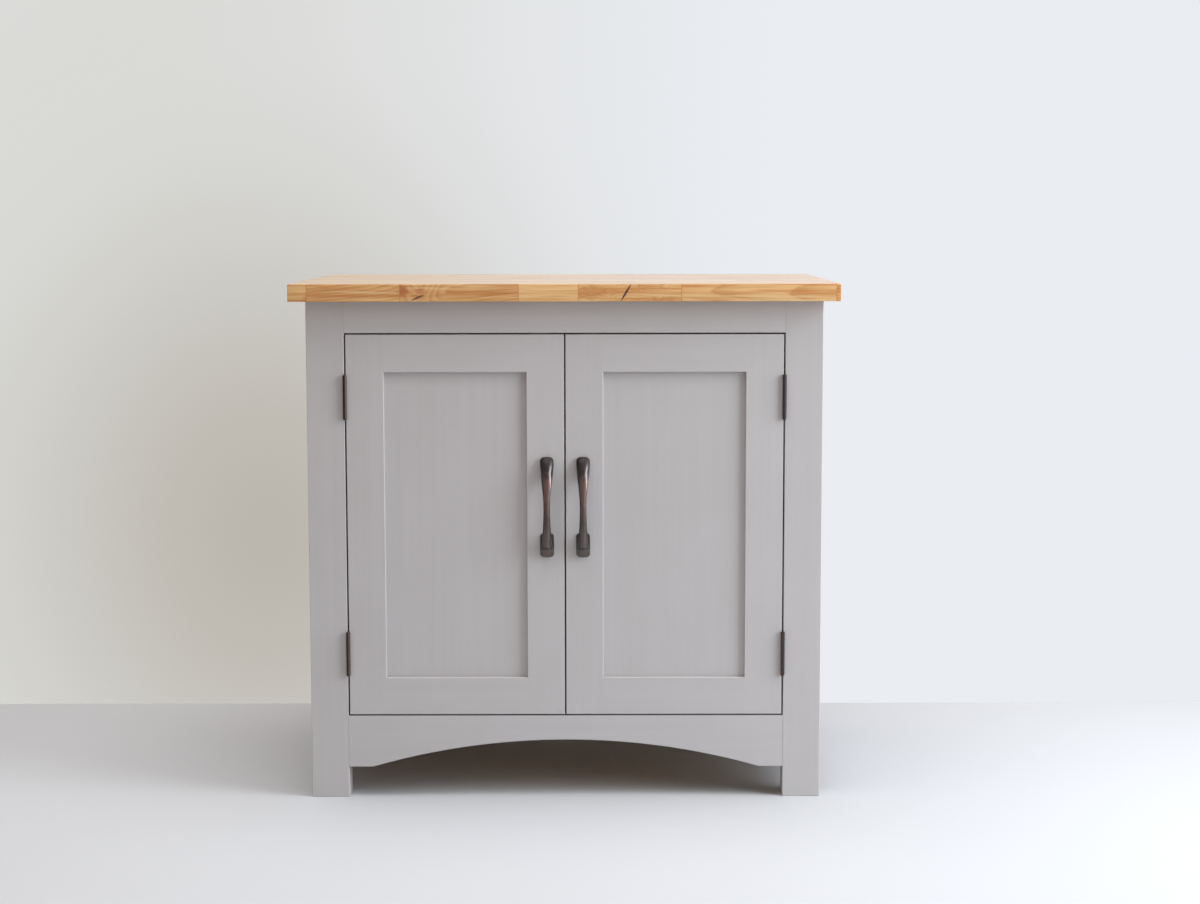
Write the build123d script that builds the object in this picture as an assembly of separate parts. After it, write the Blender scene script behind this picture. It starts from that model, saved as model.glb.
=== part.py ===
from build123d import *

import os

# Overall sizes, in millimetres. X runs to the right, Y to the back and Z up,
# from the floor under the middle of the worktop.
total_height = 900.0
body_width = 890.0
body_depth = 580.0
worktop_thickness = 30.0
side_overhang = 26.5
front_overhang = 30.0
rear_overhang = 10.0
worktop_edge_radius = 1.1
worktop_corner_radius = 3.0

# Corner legs and the rails between them
leg_width = 65.0
leg_depth = 45.0
leg_arris = 0.8
rail_thickness = 22.0
top_rail_height = 55.0
bottom_rail_height = 91.0
foot_height = 54.0
arch_rise = 48.0
arch_flat = 42.0
rail_arris = 1.0
tenon_thickness = 8.0
tenon_shoulder = 8.0
front_tenon_length = 32.0
side_tenon_length = 24.0

# Panels of the two sides
side_panel_thickness = 9.0
side_panel_setback = 8.0
side_groove_depth = 8.0

# Tongued and grooved boards of the back
back_board_thickness = 10.0
back_board_count = 8
back_rebate_width = 12.0
back_tongue_length = 5.0
back_tongue_thickness = 3.4
back_bead = 1.6

# Cupboard floor, shelf and what carries them
floor_thickness = 18.0
cleat_size = 20.0
shelf_thickness = 18.0
shelf_top_height = 489.0
shelf_front_setback = 30.0
shelf_edge_radius = 1.5
bearer_width = 22.0
bearer_height = 22.0
bearer_stub_length = 8.0
bearer_stub_shoulder = 5.0

# Wooden buttons that hold the worktop down
button_length = 38.0
button_width = 28.0
button_thickness = 18.0
button_tongue_length = 9.0
button_tongue_thickness = 8.0
button_slot_spare = 12.0
button_screw_inset = 20.0
button_spread_x = 220.0
button_spread_y = 150.0

# Doors
door_gap = 2.6
door_thickness = 22.0
stile_width = 65.0
door_rail_height = 65.0
door_panel_thickness = 9.0
door_panel_setback = 8.0
door_groove_depth = 10.0
door_tenon_length = 38.0
door_tenon_shoulder = 9.0
door_edge_radius = 0.8
door_recess_radius = 1.2

# Butt hinges
hinge_length = 76.0
hinge_end_distance = 70.0
leaf_thickness = 1.5
leaf_reach = 19.0
leaf_spacing = 0.5
barrel_radius = 3.5
barrel_standoff = 0.3
knuckle_count = 5
knuckle_gap = 0.3
hinge_pin_radius = 1.75
hinge_cap_radius = 2.9
hinge_cap_height = 1.4
hinge_cap_bevel = 0.7
hinge_screw_spread = 26.0
hinge_screw_inset = 12.0
hinge_screw_middle_inset = 8.0

# Cast bow handles
handle_length = 174.5
handle_hole_spacing = 128.0
handle_projection = 28.0
handle_finger_height = 22.0
handle_waist = 11.5
handle_end_width = 22.7
handle_upper_flare = 72.0
handle_pad_width = 24.2
handle_pad_length = 41.7
handle_upper_pad_length = 26.0
handle_pad_thickness = 3.2
handle_pad_radius = 5.0
handle_pad_bevel = 1.0
handle_edge_distance = 30.0
handle_height = 513.2
handle_back_share = 0.8
handle_shoulder_share = 0.3
handle_cheek_share = 0.78
handle_cheek_width_share = 0.72
handle_front_power = 4.2
handle_front_overrun = 4.0
handle_back_power = 4.0
handle_root_inset = 26.0
handle_width_power = 1.7
handle_bolt_depth = 9.0

# Magnetic catches
catch_distance = 46.0
catch_length = 46.0
catch_head_length = 26.0
catch_head_drop = 13.0
catch_head_depth = 14.0
catch_plate_height = 16.0
catch_plate_thickness = 5.0
catch_bridge_height = 8.0
catch_screw_spread = 18.0
magnet_length = 16.0
magnet_height = 7.0
magnet_depth = 9.0
strike_length = 24.0
strike_height = 12.0
strike_thickness = 1.2
strike_gap = 0.3

# Screws and bolts: shank diameter, head diameter and length
hinge_screw = (3.5, 6.5, 19.0)
button_screw = (4.0, 7.6, 30.0)
back_screw = (3.0, 5.6, 24.0)
catch_screw = (2.6, 5.0, 14.0)
strike_screw = (2.6, 5.0, 12.0)
cleat_screw = (3.5, 6.5, 32.0)
bolt_diameter = 4.0
bolt_head_diameter = 8.0
bolt_head_height = 2.2
bolt_head_bevel = 0.8
screw_sides = 8
head_taper_share = 0.9
slot_width = 0.9
slot_depth = 0.8
cleat_screw_spread_x = 260.0
cleat_screw_spread_y = 170.0

# Clearances
glue_line = 0.1
running_fit = 0.05
panel_play = 0.6
swing_clearance = 0.3

# Planes that several pieces share
worktop_width = body_width + 2 * side_overhang
worktop_depth = front_overhang + body_depth + rear_overhang
body_top = total_height - worktop_thickness
side_x = body_width / 2
inner_x = side_x - leg_width
front_y = -worktop_depth / 2 + front_overhang
rear_y = front_y + body_depth
front_leg_back = front_y + leg_depth
rear_leg_front = rear_y - leg_depth
front_rail_back = front_y + rail_thickness
board_front = rear_y - back_board_thickness
rear_rail_front = board_front - rail_thickness
side_rail_inner = side_x - rail_thickness
opening_bottom = foot_height + bottom_rail_height
opening_top = body_top - top_rail_height
side_panel_inner = side_x - side_panel_setback - side_panel_thickness
floor_underside = opening_bottom - floor_thickness
shelf_underside = shelf_top_height - shelf_thickness

# Limits of the right-hand door
door_left = door_gap / 2
door_right = inner_x - door_gap
door_bottom = opening_bottom + door_gap
door_top = opening_top - door_gap
door_back = front_y + door_thickness
recess_left = door_left + stile_width
recess_right = door_right - stile_width
recess_bottom = door_bottom + door_rail_height
recess_top = door_top - door_rail_height
door_panel_front = front_y + door_panel_setback
door_panel_back = door_panel_front + door_panel_thickness
hinge_x = inner_x - door_gap / 2
hinge_y = front_y - barrel_radius - barrel_standoff
hinge_heights = (
    door_bottom + hinge_end_distance + hinge_length / 2,
    door_top - hinge_end_distance - hinge_length / 2,
)
handle_x = door_left + handle_edge_distance

# Ways that a screw can point
INTO_PLUS_X = Rot(0, -90, 0)
INTO_MINUS_X = Rot(0, 90, 0)
INTO_MINUS_Y = Rot(-90, 0, 0)
INTO_PLUS_Y = Rot(90, 0, 0)
INTO_PLUS_Z = Rot(180, 0, 0)


def block(x0, x1, y0, y1, z0, z1):
    """A square-edged piece between two opposite corners."""
    middle = Pos((x0 + x1) / 2, (y0 + y1) / 2, (z0 + z1) / 2)
    return middle * Box(x1 - x0, y1 - y0, z1 - z0)


def grown(limits, play):
    """The limits of a block, opened by a clearance on all sides."""
    x0, x1, y0, y1, z0, z1 = limits
    return x0 - play, x1 + play, y0 - play, y1 + play, z0 - play, z1 + play


def to_left(shape):
    """The mirror image of a right-hand piece, on the left."""
    return mirror(shape, about=Plane.YZ)


def both_sides(shape):
    """A right-hand shape together with its mirror image."""
    return [shape, to_left(shape)]


def cut_all(shape, tools):
    """The shape with each tool cut out of it."""
    for tool in tools:
        shape = shape - tool
    return shape


def group(solids):
    """Several loose solids kept as one named group."""
    return Compound(children=list(solids))


# Screws and bolts


def eight_sided(radius, low, high):
    """A rod of eight flats, standing between two heights."""
    return Pos(0, 0, low) * extrude(RegularPolygon(radius, screw_sides), high - low)


def screw_body(sizes, play):
    """A countersunk screw in eight flats, head flush at the origin, opened by a clearance."""
    shank, head, length = sizes
    taper = (head - shank) / 2
    cap = eight_sided(head / 2 + play, -taper, play)
    cap = chamfer(cap.faces().sort_by(Axis.Z)[0].edges(), taper * head_taper_share)
    return cap + eight_sided(shank / 2 + play, -length - play, play)


def countersunk_screw(sizes):
    """A slotted screw, blunt at its point."""
    slot = Box(sizes[1] * 1.5, slot_width, slot_depth * 2)
    return screw_body(sizes, 0) - slot


def screws(places, sizes):
    """Like screws at several places."""
    screw = countersunk_screw(sizes)
    return [place * screw for place in places]


def screw_holes(places, sizes):
    """The holes that the screws fill, with a running clearance."""
    hole = screw_body(sizes, running_fit)
    return [place * hole for place in places]


def handle_bolt():
    """A pan-headed bolt in eight flats: head seated on the origin, shank down."""
    length = door_thickness + handle_bolt_depth - 1
    head = eight_sided(bolt_head_diameter / 2, 0, bolt_head_height)
    head = chamfer(head.faces().sort_by(Axis.Z)[-1].edges(), bolt_head_bevel)
    slot = Pos(0, 0, bolt_head_height) * Box(bolt_head_diameter * 1.5, slot_width, slot_depth * 2)
    return eight_sided(bolt_diameter / 2, -length, 0) + head - slot


def handle_bolt_hole():
    """The hole through the stile and into the foot of the handle."""
    length = door_thickness + handle_bolt_depth
    return eight_sided(bolt_diameter / 2 + running_fit, -length, 0)


# Places of the fasteners


def hinge_screw_places():
    """Where the three screws of each right-hand leaf stand: y and z."""
    places = []
    for height in hinge_heights:
        for step in (-1, 0, 1):
            inset = hinge_screw_inset if step else hinge_screw_middle_inset
            places.append((front_y + inset, height + step * hinge_screw_spread))
    return places


def frame_screw_places():
    """Placings of the screws through the right-hand frame leaves."""
    face = hinge_x + leaf_spacing / 2
    return [Pos(face, y, z) * INTO_PLUS_X for y, z in hinge_screw_places()]


def door_screw_places():
    """Placings of the screws through the right-hand door leaves."""
    face = hinge_x - leaf_spacing / 2
    return [Pos(face, y, z) * INTO_MINUS_X for y, z in hinge_screw_places()]


def button_places():
    """Placings of the buttons round the top rails, each with X pointing inwards."""
    places = []
    for x in (-button_spread_x, button_spread_x):
        places.append(Pos(x, front_rail_back, body_top) * Rot(0, 0, 90))
        places.append(Pos(x, rear_rail_front, body_top) * Rot(0, 0, -90))
    for y in (-button_spread_y, button_spread_y):
        places.append(Pos(side_rail_inner, y, body_top) * Rot(0, 0, 180))
        places.append(Pos(-side_rail_inner, y, body_top))
    return places


def cleat_screw_places():
    """Placings of the screws that hold the four floor cleats to the rails."""
    height = floor_underside - cleat_size / 2
    places = []
    for x in (-cleat_screw_spread_x, 0, cleat_screw_spread_x):
        places.append(Pos(x, front_rail_back + cleat_size, height) * INTO_MINUS_Y)
        places.append(Pos(x, rear_rail_front - cleat_size, height) * INTO_PLUS_Y)
    for y in (-cleat_screw_spread_y, 0, cleat_screw_spread_y):
        places.append(Pos(side_rail_inner - cleat_size, y, height) * INTO_PLUS_X)
        places.append(Pos(-side_rail_inner + cleat_size, y, height) * INTO_MINUS_X)
    return places


def back_board_width():
    """The width that each board of the back covers."""
    return 2 * (inner_x + back_rebate_width - glue_line) / back_board_count


def back_screw_places():
    """Placings of the screws that hold each board to the two rear rails."""
    width = back_board_width()
    start = -width * (back_board_count - 1) / 2
    heights = ((foot_height + opening_bottom) / 2, (opening_top + body_top) / 2)
    return [
        Pos(start + width * i, rear_y, z) * INTO_MINUS_Y
        for i in range(back_board_count)
        for z in heights
    ]


def catch_screw_places():
    """Placings of the two screws through the plate of the right-hand catch."""
    face = front_rail_back + catch_plate_thickness
    height = opening_top + (catch_plate_height + catch_bridge_height) / 2
    return [
        Pos(catch_distance + step * catch_screw_spread, face, height) * INTO_MINUS_Y
        for step in (-1, 1)
    ]


def handle_bolt_places():
    """Placings of the two bolts of the right-hand handle, from inside the door."""
    return [
        Pos(handle_x, door_back, handle_height + step * handle_hole_spacing / 2) * INTO_MINUS_Y
        for step in (-1, 1)
    ]


def strike_height_middle():
    """The height of the middle of the strike plate and the magnet."""
    return opening_top - door_gap - strike_height / 2


# Joints of the carcass, as limits shared by the tenon and its mortise


def front_tenon(bottom, top):
    """The right-hand tenon of a front rail."""
    middle = front_y + rail_thickness / 2
    return (
        inner_x,
        inner_x + front_tenon_length,
        middle - tenon_thickness / 2,
        middle + tenon_thickness / 2,
        bottom + tenon_shoulder,
        top - tenon_shoulder,
    )


def rear_tenon(bottom, top):
    """The right-hand tenon of a rear rail."""
    middle = board_front - rail_thickness / 2
    return (
        inner_x,
        inner_x + front_tenon_length,
        middle - tenon_thickness / 2,
        middle + tenon_thickness / 2,
        bottom + tenon_shoulder,
        top - tenon_shoulder,
    )


def side_tenons(bottom, top):
    """The front and rear tenons of a right-hand side rail."""
    middle = side_x - rail_thickness / 2
    across = (middle - tenon_thickness / 2, middle + tenon_thickness / 2)
    height = (bottom + tenon_shoulder, top - tenon_shoulder)
    return [
        (*across, front_leg_back - side_tenon_length, front_leg_back, *height),
        (*across, rear_leg_front, rear_leg_front + side_tenon_length, *height),
    ]


def bearer_stubs():
    """The stub tenons at the two ends of the right-hand shelf bearer."""
    across = (
        side_panel_inner - bearer_width + bearer_stub_shoulder,
        side_panel_inner - bearer_stub_shoulder,
    )
    height = (
        shelf_underside - bearer_height + bearer_stub_shoulder,
        shelf_underside - bearer_stub_shoulder,
    )
    return [
        (*across, front_leg_back - bearer_stub_length, front_leg_back, *height),
        (*across, rear_leg_front, rear_leg_front + bearer_stub_length, *height),
    ]


def side_groove():
    """The slot round the right-hand side opening that holds its panel."""
    return (
        side_panel_inner - glue_line,
        side_panel_inner + side_panel_thickness + glue_line,
        front_leg_back - side_groove_depth,
        rear_leg_front + side_groove_depth,
        opening_bottom - side_groove_depth,
        opening_top + side_groove_depth,
    )


rail_levels = ((foot_height, opening_bottom), (opening_top, body_top))


# Carcass


def worktop():
    """The solid timber top, with eased edges and pilot holes underneath."""
    slab = block(
        -worktop_width / 2,
        worktop_width / 2,
        -worktop_depth / 2,
        worktop_depth / 2,
        body_top,
        total_height,
    )
    slab = fillet(slab.edges().filter_by(Axis.Z), worktop_corner_radius)
    rims = slab.faces().sort_by(Axis.Z)
    slab = fillet(rims[0].edges() + rims[-1].edges(), worktop_edge_radius)
    return cut_all(slab, button_screw_holes())


def front_leg():
    """The right-hand front leg, mortised for its rails and let in for the hinges."""
    leg = block(inner_x, side_x, front_y, front_leg_back, 0, body_top)
    leg = chamfer(leg.edges().filter_by(Axis.Z), leg_arris)
    leg = chamfer(leg.faces().sort_by(Axis.Z)[0].edges(), leg_arris)
    joints = [front_tenon(*level) for level in rail_levels]
    joints += [side_tenons(*level)[0] for level in rail_levels]
    joints.append(bearer_stubs()[0])
    tools = [block(*grown(limits, glue_line)) for limits in joints]
    tools.append(block(*side_groove()))
    tools += [leaf_recess(1, height) for height in hinge_heights]
    tools += screw_holes(frame_screw_places(), hinge_screw)
    return cut_all(leg, tools)


def rear_leg():
    """The right-hand rear leg, mortised for its rails and rebated for the boards."""
    leg = block(inner_x, side_x, rear_leg_front, rear_y, 0, body_top)
    leg = chamfer(leg.edges().filter_by(Axis.Z), leg_arris)
    leg = chamfer(leg.faces().sort_by(Axis.Z)[0].edges(), leg_arris)
    joints = [rear_tenon(*level) for level in rail_levels]
    joints += [side_tenons(*level)[1] for level in rail_levels]
    joints.append(bearer_stubs()[1])
    tools = [block(*grown(limits, glue_line)) for limits in joints]
    tools.append(block(*side_groove()))
    rebate_edge = inner_x + back_rebate_width
    past = leg_arris + 1
    tools.append(
        block(inner_x - past, rebate_edge, board_front, rear_y + past, foot_height, body_top + past)
    )
    return cut_all(leg, tools)


def front_top_rail():
    """The straight rail over the doors."""
    rail = block(-inner_x, inner_x, front_y, front_rail_back, opening_top, body_top)
    lower_front = rail.edges().filter_by(Axis.X).group_by(Axis.Z)[0].sort_by(Axis.Y)[0]
    rail = fillet(lower_front, rail_arris)
    for tenon in both_sides(block(*front_tenon(opening_top, body_top))):
        rail = rail + tenon
    tools = button_slots()
    for hole in screw_holes(catch_screw_places(), catch_screw):
        tools += both_sides(hole)
    return cut_all(rail, tools)


def arch_face():
    """The front rail's lower edge: two flats with a segmental arch between."""
    springing = inner_x - arch_flat
    line = Polyline(
        [(springing, foot_height), (inner_x, foot_height), (inner_x, opening_bottom)]
    )
    line += Line((inner_x, opening_bottom), (-inner_x, opening_bottom))
    line += Polyline(
        [(-inner_x, opening_bottom), (-inner_x, foot_height), (-springing, foot_height)]
    )
    crown = (0, foot_height + arch_rise)
    line += ThreePointArc((-springing, foot_height), crown, (springing, foot_height))
    return make_face(Plane.XZ * line)


def front_bottom_rail():
    """The arched rail under the doors."""
    rail = extrude(arch_face(), rail_thickness, dir=(0, 1, 0))
    rail = Pos(0, front_y, 0) * rail
    front = rail.faces().sort_by(Axis.Y)[0]
    below = foot_height + arch_rise + rail_arris
    lower = [edge for edge in front.edges() if edge.bounding_box().max.Z < below]
    rail = fillet(lower, rail_arris)
    for tenon in both_sides(block(*front_tenon(foot_height, opening_bottom))):
        rail = rail + tenon
    return cut_all(rail, cleat_screw_holes())


def rear_rail(bottom, top):
    """A straight rail between the rear legs, behind which the boards stand."""
    rail = block(-inner_x, inner_x, rear_rail_front, board_front, bottom, top)
    for tenon in both_sides(block(*rear_tenon(bottom, top))):
        rail = rail + tenon
    tools = button_slots() + cleat_screw_holes() + back_screw_holes()
    return cut_all(rail, tools)


def side_rail(bottom, top):
    """A right-hand side rail, grooved for the side panel."""
    rail = block(side_rail_inner, side_x, front_leg_back, rear_leg_front, bottom, top)
    for limits in side_tenons(bottom, top):
        rail = rail + block(*limits)
    tools = button_slots() + cleat_screw_holes()
    tools.append(block(*side_groove()))
    return cut_all(rail, tools)


def side_panel():
    """The flat right-hand panel, loose in its grooves."""
    x0, x1, y0, y1, z0, z1 = side_groove()
    return block(
        x0 + glue_line,
        x1 - glue_line,
        y0 + panel_play,
        y1 - panel_play,
        z0 + panel_play,
        z1 - panel_play,
    )


def board_outline(first, last):
    """Plan of one back board: body with beaded corners, tongue and groove."""
    half = back_board_width() / 2
    middle = back_board_thickness / 2
    tongue = back_tongue_thickness / 2
    slot = tongue + glue_line
    thick = back_board_thickness
    left = [(-half, thick - back_bead), (-half, back_bead)]
    if not first:
        depth = -half + back_tongue_length + panel_play
        left = [
            (-half, thick - back_bead),
            (-half, middle + slot),
            (depth, middle + slot),
            (depth, middle - slot),
            (-half, middle - slot),
            (-half, back_bead),
        ]
    right = [(half - glue_line, back_bead), (half - glue_line, thick - back_bead)]
    if not last:
        tip = half + back_tongue_length
        right = [
            (half - glue_line, back_bead),
            (half - glue_line, middle - tongue),
            (tip, middle - tongue),
            (tip, middle + tongue),
            (half - glue_line, middle + tongue),
            (half - glue_line, thick - back_bead),
        ]
    edge = half - back_bead
    points = left + [(-edge, 0), (edge, 0)] + right + [(edge, thick), (-edge, thick)]
    return make_face(Polyline(points, close=True))


def back_boards():
    """The tongued and grooved boards that close the back."""
    width = back_board_width()
    start = -width * (back_board_count - 1) / 2
    holes = back_screw_holes()
    boards = []
    for i in range(back_board_count):
        outline = board_outline(i == 0, i == back_board_count - 1)
        board = extrude(outline, body_top - foot_height)
        board = Pos(start + width * i, board_front, foot_height) * board
        boards.append(cut_all(board, holes[2 * i : 2 * i + 2]))
    return group(boards)


def leg_notches(play):
    """The corners that a panel between the sides leaves free for the legs."""
    tools = []
    for y0, y1 in ((front_y, front_leg_back), (rear_leg_front, rear_y)):
        limits = (inner_x, side_x, y0, y1, 0, body_top)
        tools += both_sides(block(*grown(limits, play)))
    return tools


def cupboard_floor():
    """The floor panel, level with the front rail and notched round the legs."""
    panel = block(
        -side_rail_inner + glue_line,
        side_rail_inner - glue_line,
        front_rail_back + glue_line,
        rear_rail_front - glue_line,
        floor_underside,
        opening_bottom,
    )
    return cut_all(panel, leg_notches(panel_play))


def floor_cleats():
    """Four square cleats that carry the floor, screwed inside the bottom rails."""
    z0 = floor_underside - cleat_size
    z1 = floor_underside
    spans = [
        (-inner_x, inner_x, front_rail_back, front_rail_back + cleat_size, z0, z1),
        (-inner_x, inner_x, rear_rail_front - cleat_size, rear_rail_front, z0, z1),
    ]
    cleats = [block(*limits) for limits in spans]
    side = block(side_rail_inner - cleat_size, side_rail_inner, front_leg_back, rear_leg_front, z0, z1)
    cleats += both_sides(side)
    return group(cut_all(cleat, cleat_screw_holes()) for cleat in cleats)


def shelf():
    """The loose shelf, notched round the rear legs."""
    panel = block(
        -side_panel_inner + panel_play,
        side_panel_inner - panel_play,
        front_leg_back + shelf_front_setback,
        board_front - panel_play,
        shelf_underside,
        shelf_top_height,
    )
    front = panel.edges().filter_by(Axis.X).group_by(Axis.Y)[0]
    panel = fillet(front, shelf_edge_radius)
    return cut_all(panel, leg_notches(panel_play))


def shelf_bearers():
    """The two bearers under the ends of the shelf, stub-tenoned into the legs."""
    bearer = block(
        side_panel_inner - bearer_width,
        side_panel_inner,
        front_leg_back,
        rear_leg_front,
        shelf_underside - bearer_height,
        shelf_underside,
    )
    for limits in bearer_stubs():
        bearer = bearer + block(*limits)
    return group(both_sides(bearer))


def worktop_button():
    """One button: a block under the worktop with a tongue into the rail."""
    body = block(
        glue_line, button_length, -button_width / 2, button_width / 2, -button_thickness, 0
    )
    tongue = block(
        -button_tongue_length,
        glue_line + 1,
        -button_width / 2,
        button_width / 2,
        -button_thickness,
        -button_thickness + button_tongue_thickness,
    )
    body = chamfer(body.edges().filter_by(Axis.Y).sort_by(Axis.X)[-2:], 2)
    return cut_all(body + tongue, screw_holes([button_screw_seat()], button_screw))


def worktop_buttons():
    """All the buttons, round the top rails."""
    button = worktop_button()
    return group(place * button for place in button_places())


def button_slot():
    """The slot in a rail that a button's tongue slides in."""
    return block(
        -button_tongue_length - panel_play,
        glue_line + 1,
        -(button_width + button_slot_spare) / 2,
        (button_width + button_slot_spare) / 2,
        -button_thickness - glue_line,
        -button_thickness + button_tongue_thickness + glue_line,
    )


def button_slots():
    """The slots of all the buttons."""
    slot = button_slot()
    return [place * slot for place in button_places()]


def button_screw_seat():
    """Where a button's screw goes up through it."""
    return Pos(button_screw_inset, 0, -button_thickness) * INTO_PLUS_Z


def button_screw_places():
    """Placings of the screws that go up through the buttons."""
    return [place * button_screw_seat() for place in button_places()]


def button_screw_holes():
    """The holes of the button screws."""
    return screw_holes(button_screw_places(), button_screw)


def cleat_screw_holes():
    """The holes of the cleat screws."""
    return screw_holes(cleat_screw_places(), cleat_screw)


def back_screw_holes():
    """The holes of the back board screws."""
    return screw_holes(back_screw_places(), back_screw)


# Hinges


def leaf_recess(side, height):
    """The shallow bed of a leaf: side 1 is cut in the leg, side -1 in the door."""
    outer = leaf_spacing / 2 + leaf_thickness
    half = hinge_length / 2
    x0, x1 = sorted((hinge_x, hinge_x + side * outer))
    return block(
        x0,
        x1,
        front_y - 1,
        front_y + leaf_reach + glue_line,
        height - half - glue_line,
        height + half + glue_line,
    )


def knuckle_spans():
    """The heights of the knuckles of one hinge, from its lower end."""
    pitch = hinge_length / knuckle_count
    return [
        (pitch * i + knuckle_gap / 2, pitch * (i + 1) - knuckle_gap / 2)
        for i in range(knuckle_count)
    ]


def hinge_leaf(side, height):
    """One right-hand leaf: a plate with its knuckles, bored for the pin."""
    bottom = height - hinge_length / 2
    inner = leaf_spacing / 2
    x0, x1 = sorted((hinge_x + side * inner, hinge_x + side * (inner + leaf_thickness)))
    leaf = block(x0, x1, hinge_y, front_y + leaf_reach, bottom, bottom + hinge_length)
    first = 0 if side > 0 else 1
    for i, (z0, z1) in enumerate(knuckle_spans()):
        middle = Pos(hinge_x, hinge_y, bottom + (z0 + z1) / 2)
        if i % 2 == first:
            leaf = leaf + middle * Cylinder(barrel_radius, z1 - z0)
        else:
            room = barrel_radius + swing_clearance
            leaf = leaf - middle * Cylinder(room, z1 - z0 + 2 * knuckle_gap)
    bore = Pos(hinge_x, hinge_y, height) * Cylinder(hinge_pin_radius + running_fit, hinge_length + 2)
    places = frame_screw_places() if side > 0 else door_screw_places()
    return cut_all(leaf, [bore] + screw_holes(places, hinge_screw))


def hinge_pin(height):
    """One right-hand pin with a bevelled cap at each end."""
    half = hinge_length / 2
    pin = Cylinder(hinge_pin_radius, hinge_length)
    cap = Pos(0, 0, half + hinge_cap_height / 2) * Cylinder(hinge_cap_radius, hinge_cap_height)
    cap = chamfer(cap.edges().group_by(Axis.Z)[-1], hinge_cap_bevel)
    pin = pin + cap + mirror(cap, about=Plane.XY)
    return Pos(hinge_x, hinge_y, height) * pin


# Doors


def door_blank():
    """The right-hand door frame as glued up, with its arrises softened."""
    frame = block(door_left, door_right, front_y, door_back, door_bottom, door_top)
    frame = frame - block(
        recess_left, recess_right, front_y - 1, door_back + 1, recess_bottom, recess_top
    )
    face = frame.faces().sort_by(Axis.Y)[0]
    outer = face.outer_wire().edges()
    frame = fillet(outer, door_edge_radius)
    face = frame.faces().sort_by(Axis.Y)[0]
    inner = face.inner_wires()[0].edges()
    return fillet(inner, door_recess_radius)


def door_groove():
    """The groove round the recess that holds the door panel."""
    return (
        recess_left - door_groove_depth,
        recess_right + door_groove_depth,
        door_panel_front - glue_line,
        door_panel_back + glue_line,
        recess_bottom - door_groove_depth,
        recess_top + door_groove_depth,
    )


def door_tenons(bottom, top):
    """The two tenons of a door rail, in line with the panel."""
    thickness = (door_panel_front, door_panel_back)
    height = (bottom + door_tenon_shoulder, top - door_tenon_shoulder)
    return [
        (recess_left - door_tenon_length, recess_left, *thickness, *height),
        (recess_right, recess_right + door_tenon_length, *thickness, *height),
    ]


door_rail_levels = ((door_bottom, recess_bottom), (recess_top, door_top))


def stile_mortises(side):
    """The two mortises of a stile: side 0 is the meeting stile, 1 the hinge stile."""
    return [block(*grown(door_tenons(*level)[side], glue_line)) for level in door_rail_levels]


def hinge_stile(blank):
    """The outer stile, mortised, grooved and let in for the hinges."""
    reach = block(recess_right, door_right, front_y, door_back, door_bottom, door_top)
    tools = stile_mortises(1) + [block(*door_groove())]
    tools += [leaf_recess(-1, height) for height in hinge_heights]
    tools += screw_holes(door_screw_places(), hinge_screw)
    return cut_all(blank & reach, tools)


def meeting_stile(blank):
    """The stile beside the other door, bored for the handle."""
    reach = block(door_left, recess_left, front_y, door_back, door_bottom, door_top)
    tools = stile_mortises(0) + [block(*door_groove())]
    tools += [place * handle_bolt_hole() for place in handle_bolt_places()]
    tools += screw_holes([strike_screw_place()], strike_screw)
    return cut_all(blank & reach, tools)


def door_rail(blank, bottom, top):
    """A cross rail of the door, tenoned and grooved."""
    rail = blank & block(recess_left, recess_right, front_y, door_back, bottom, top)
    for limits in door_tenons(bottom, top):
        rail = rail + block(*limits)
    return rail - block(*door_groove())


def door_panel():
    """The flat door panel, loose in its grooves."""
    x0, x1, y0, y1, z0, z1 = door_groove()
    return block(
        x0 + panel_play,
        x1 - panel_play,
        y0 + glue_line,
        y1 - glue_line,
        z0 + panel_play,
        z1 - panel_play,
    )


# Handles


def bow_front(offset):
    """How far the front of the bow stands off the door, along its length."""
    reach = handle_length / 2 + handle_front_overrun
    return handle_projection * (1 - (abs(offset) / reach) ** handle_front_power)


def bow_back(offset):
    """How far the underside of the bow stands off the door."""
    reach = handle_length / 2 - handle_root_inset
    return max(0.0, handle_finger_height * (1 - (abs(offset) / reach) ** handle_back_power))


def bow_width(offset):
    """The width of the bow: narrow at the waist, and sooner full above it than below."""
    reach = handle_upper_flare if offset > 0 else handle_length / 2
    share = min(1.0, abs(offset) / reach)
    return handle_waist + (handle_end_width - handle_waist) * share**handle_width_power


def bow_slice(offset):
    """One slice across the bow: flat back, upright sides, sloping cheeks and a ridge."""
    half = bow_width(offset) / 2
    front = bow_front(offset)
    back = bow_back(offset)
    shoulder = back + (front - back) * handle_shoulder_share
    cheek = back + (front - back) * handle_cheek_share
    points = [
        (-half * handle_back_share, -back),
        (half * handle_back_share, -back),
        (half, -shoulder),
        (half * handle_cheek_width_share, -cheek),
        (0, -front),
        (-half * handle_cheek_width_share, -cheek),
        (-half, -shoulder),
    ]
    return Pos(0, 0, offset) * make_face(Polyline(points, close=True))


def bow_stations():
    """The places along the bow where its slices stand, closer near the ends."""
    half = handle_length / 2
    shares = (0.3, 0.5, 0.62, 0.7, 0.77, 0.85, 0.93, 1.0)
    upper = [half * share for share in shares]
    return [-z for z in reversed(upper)] + [0.0] + upper


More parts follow.
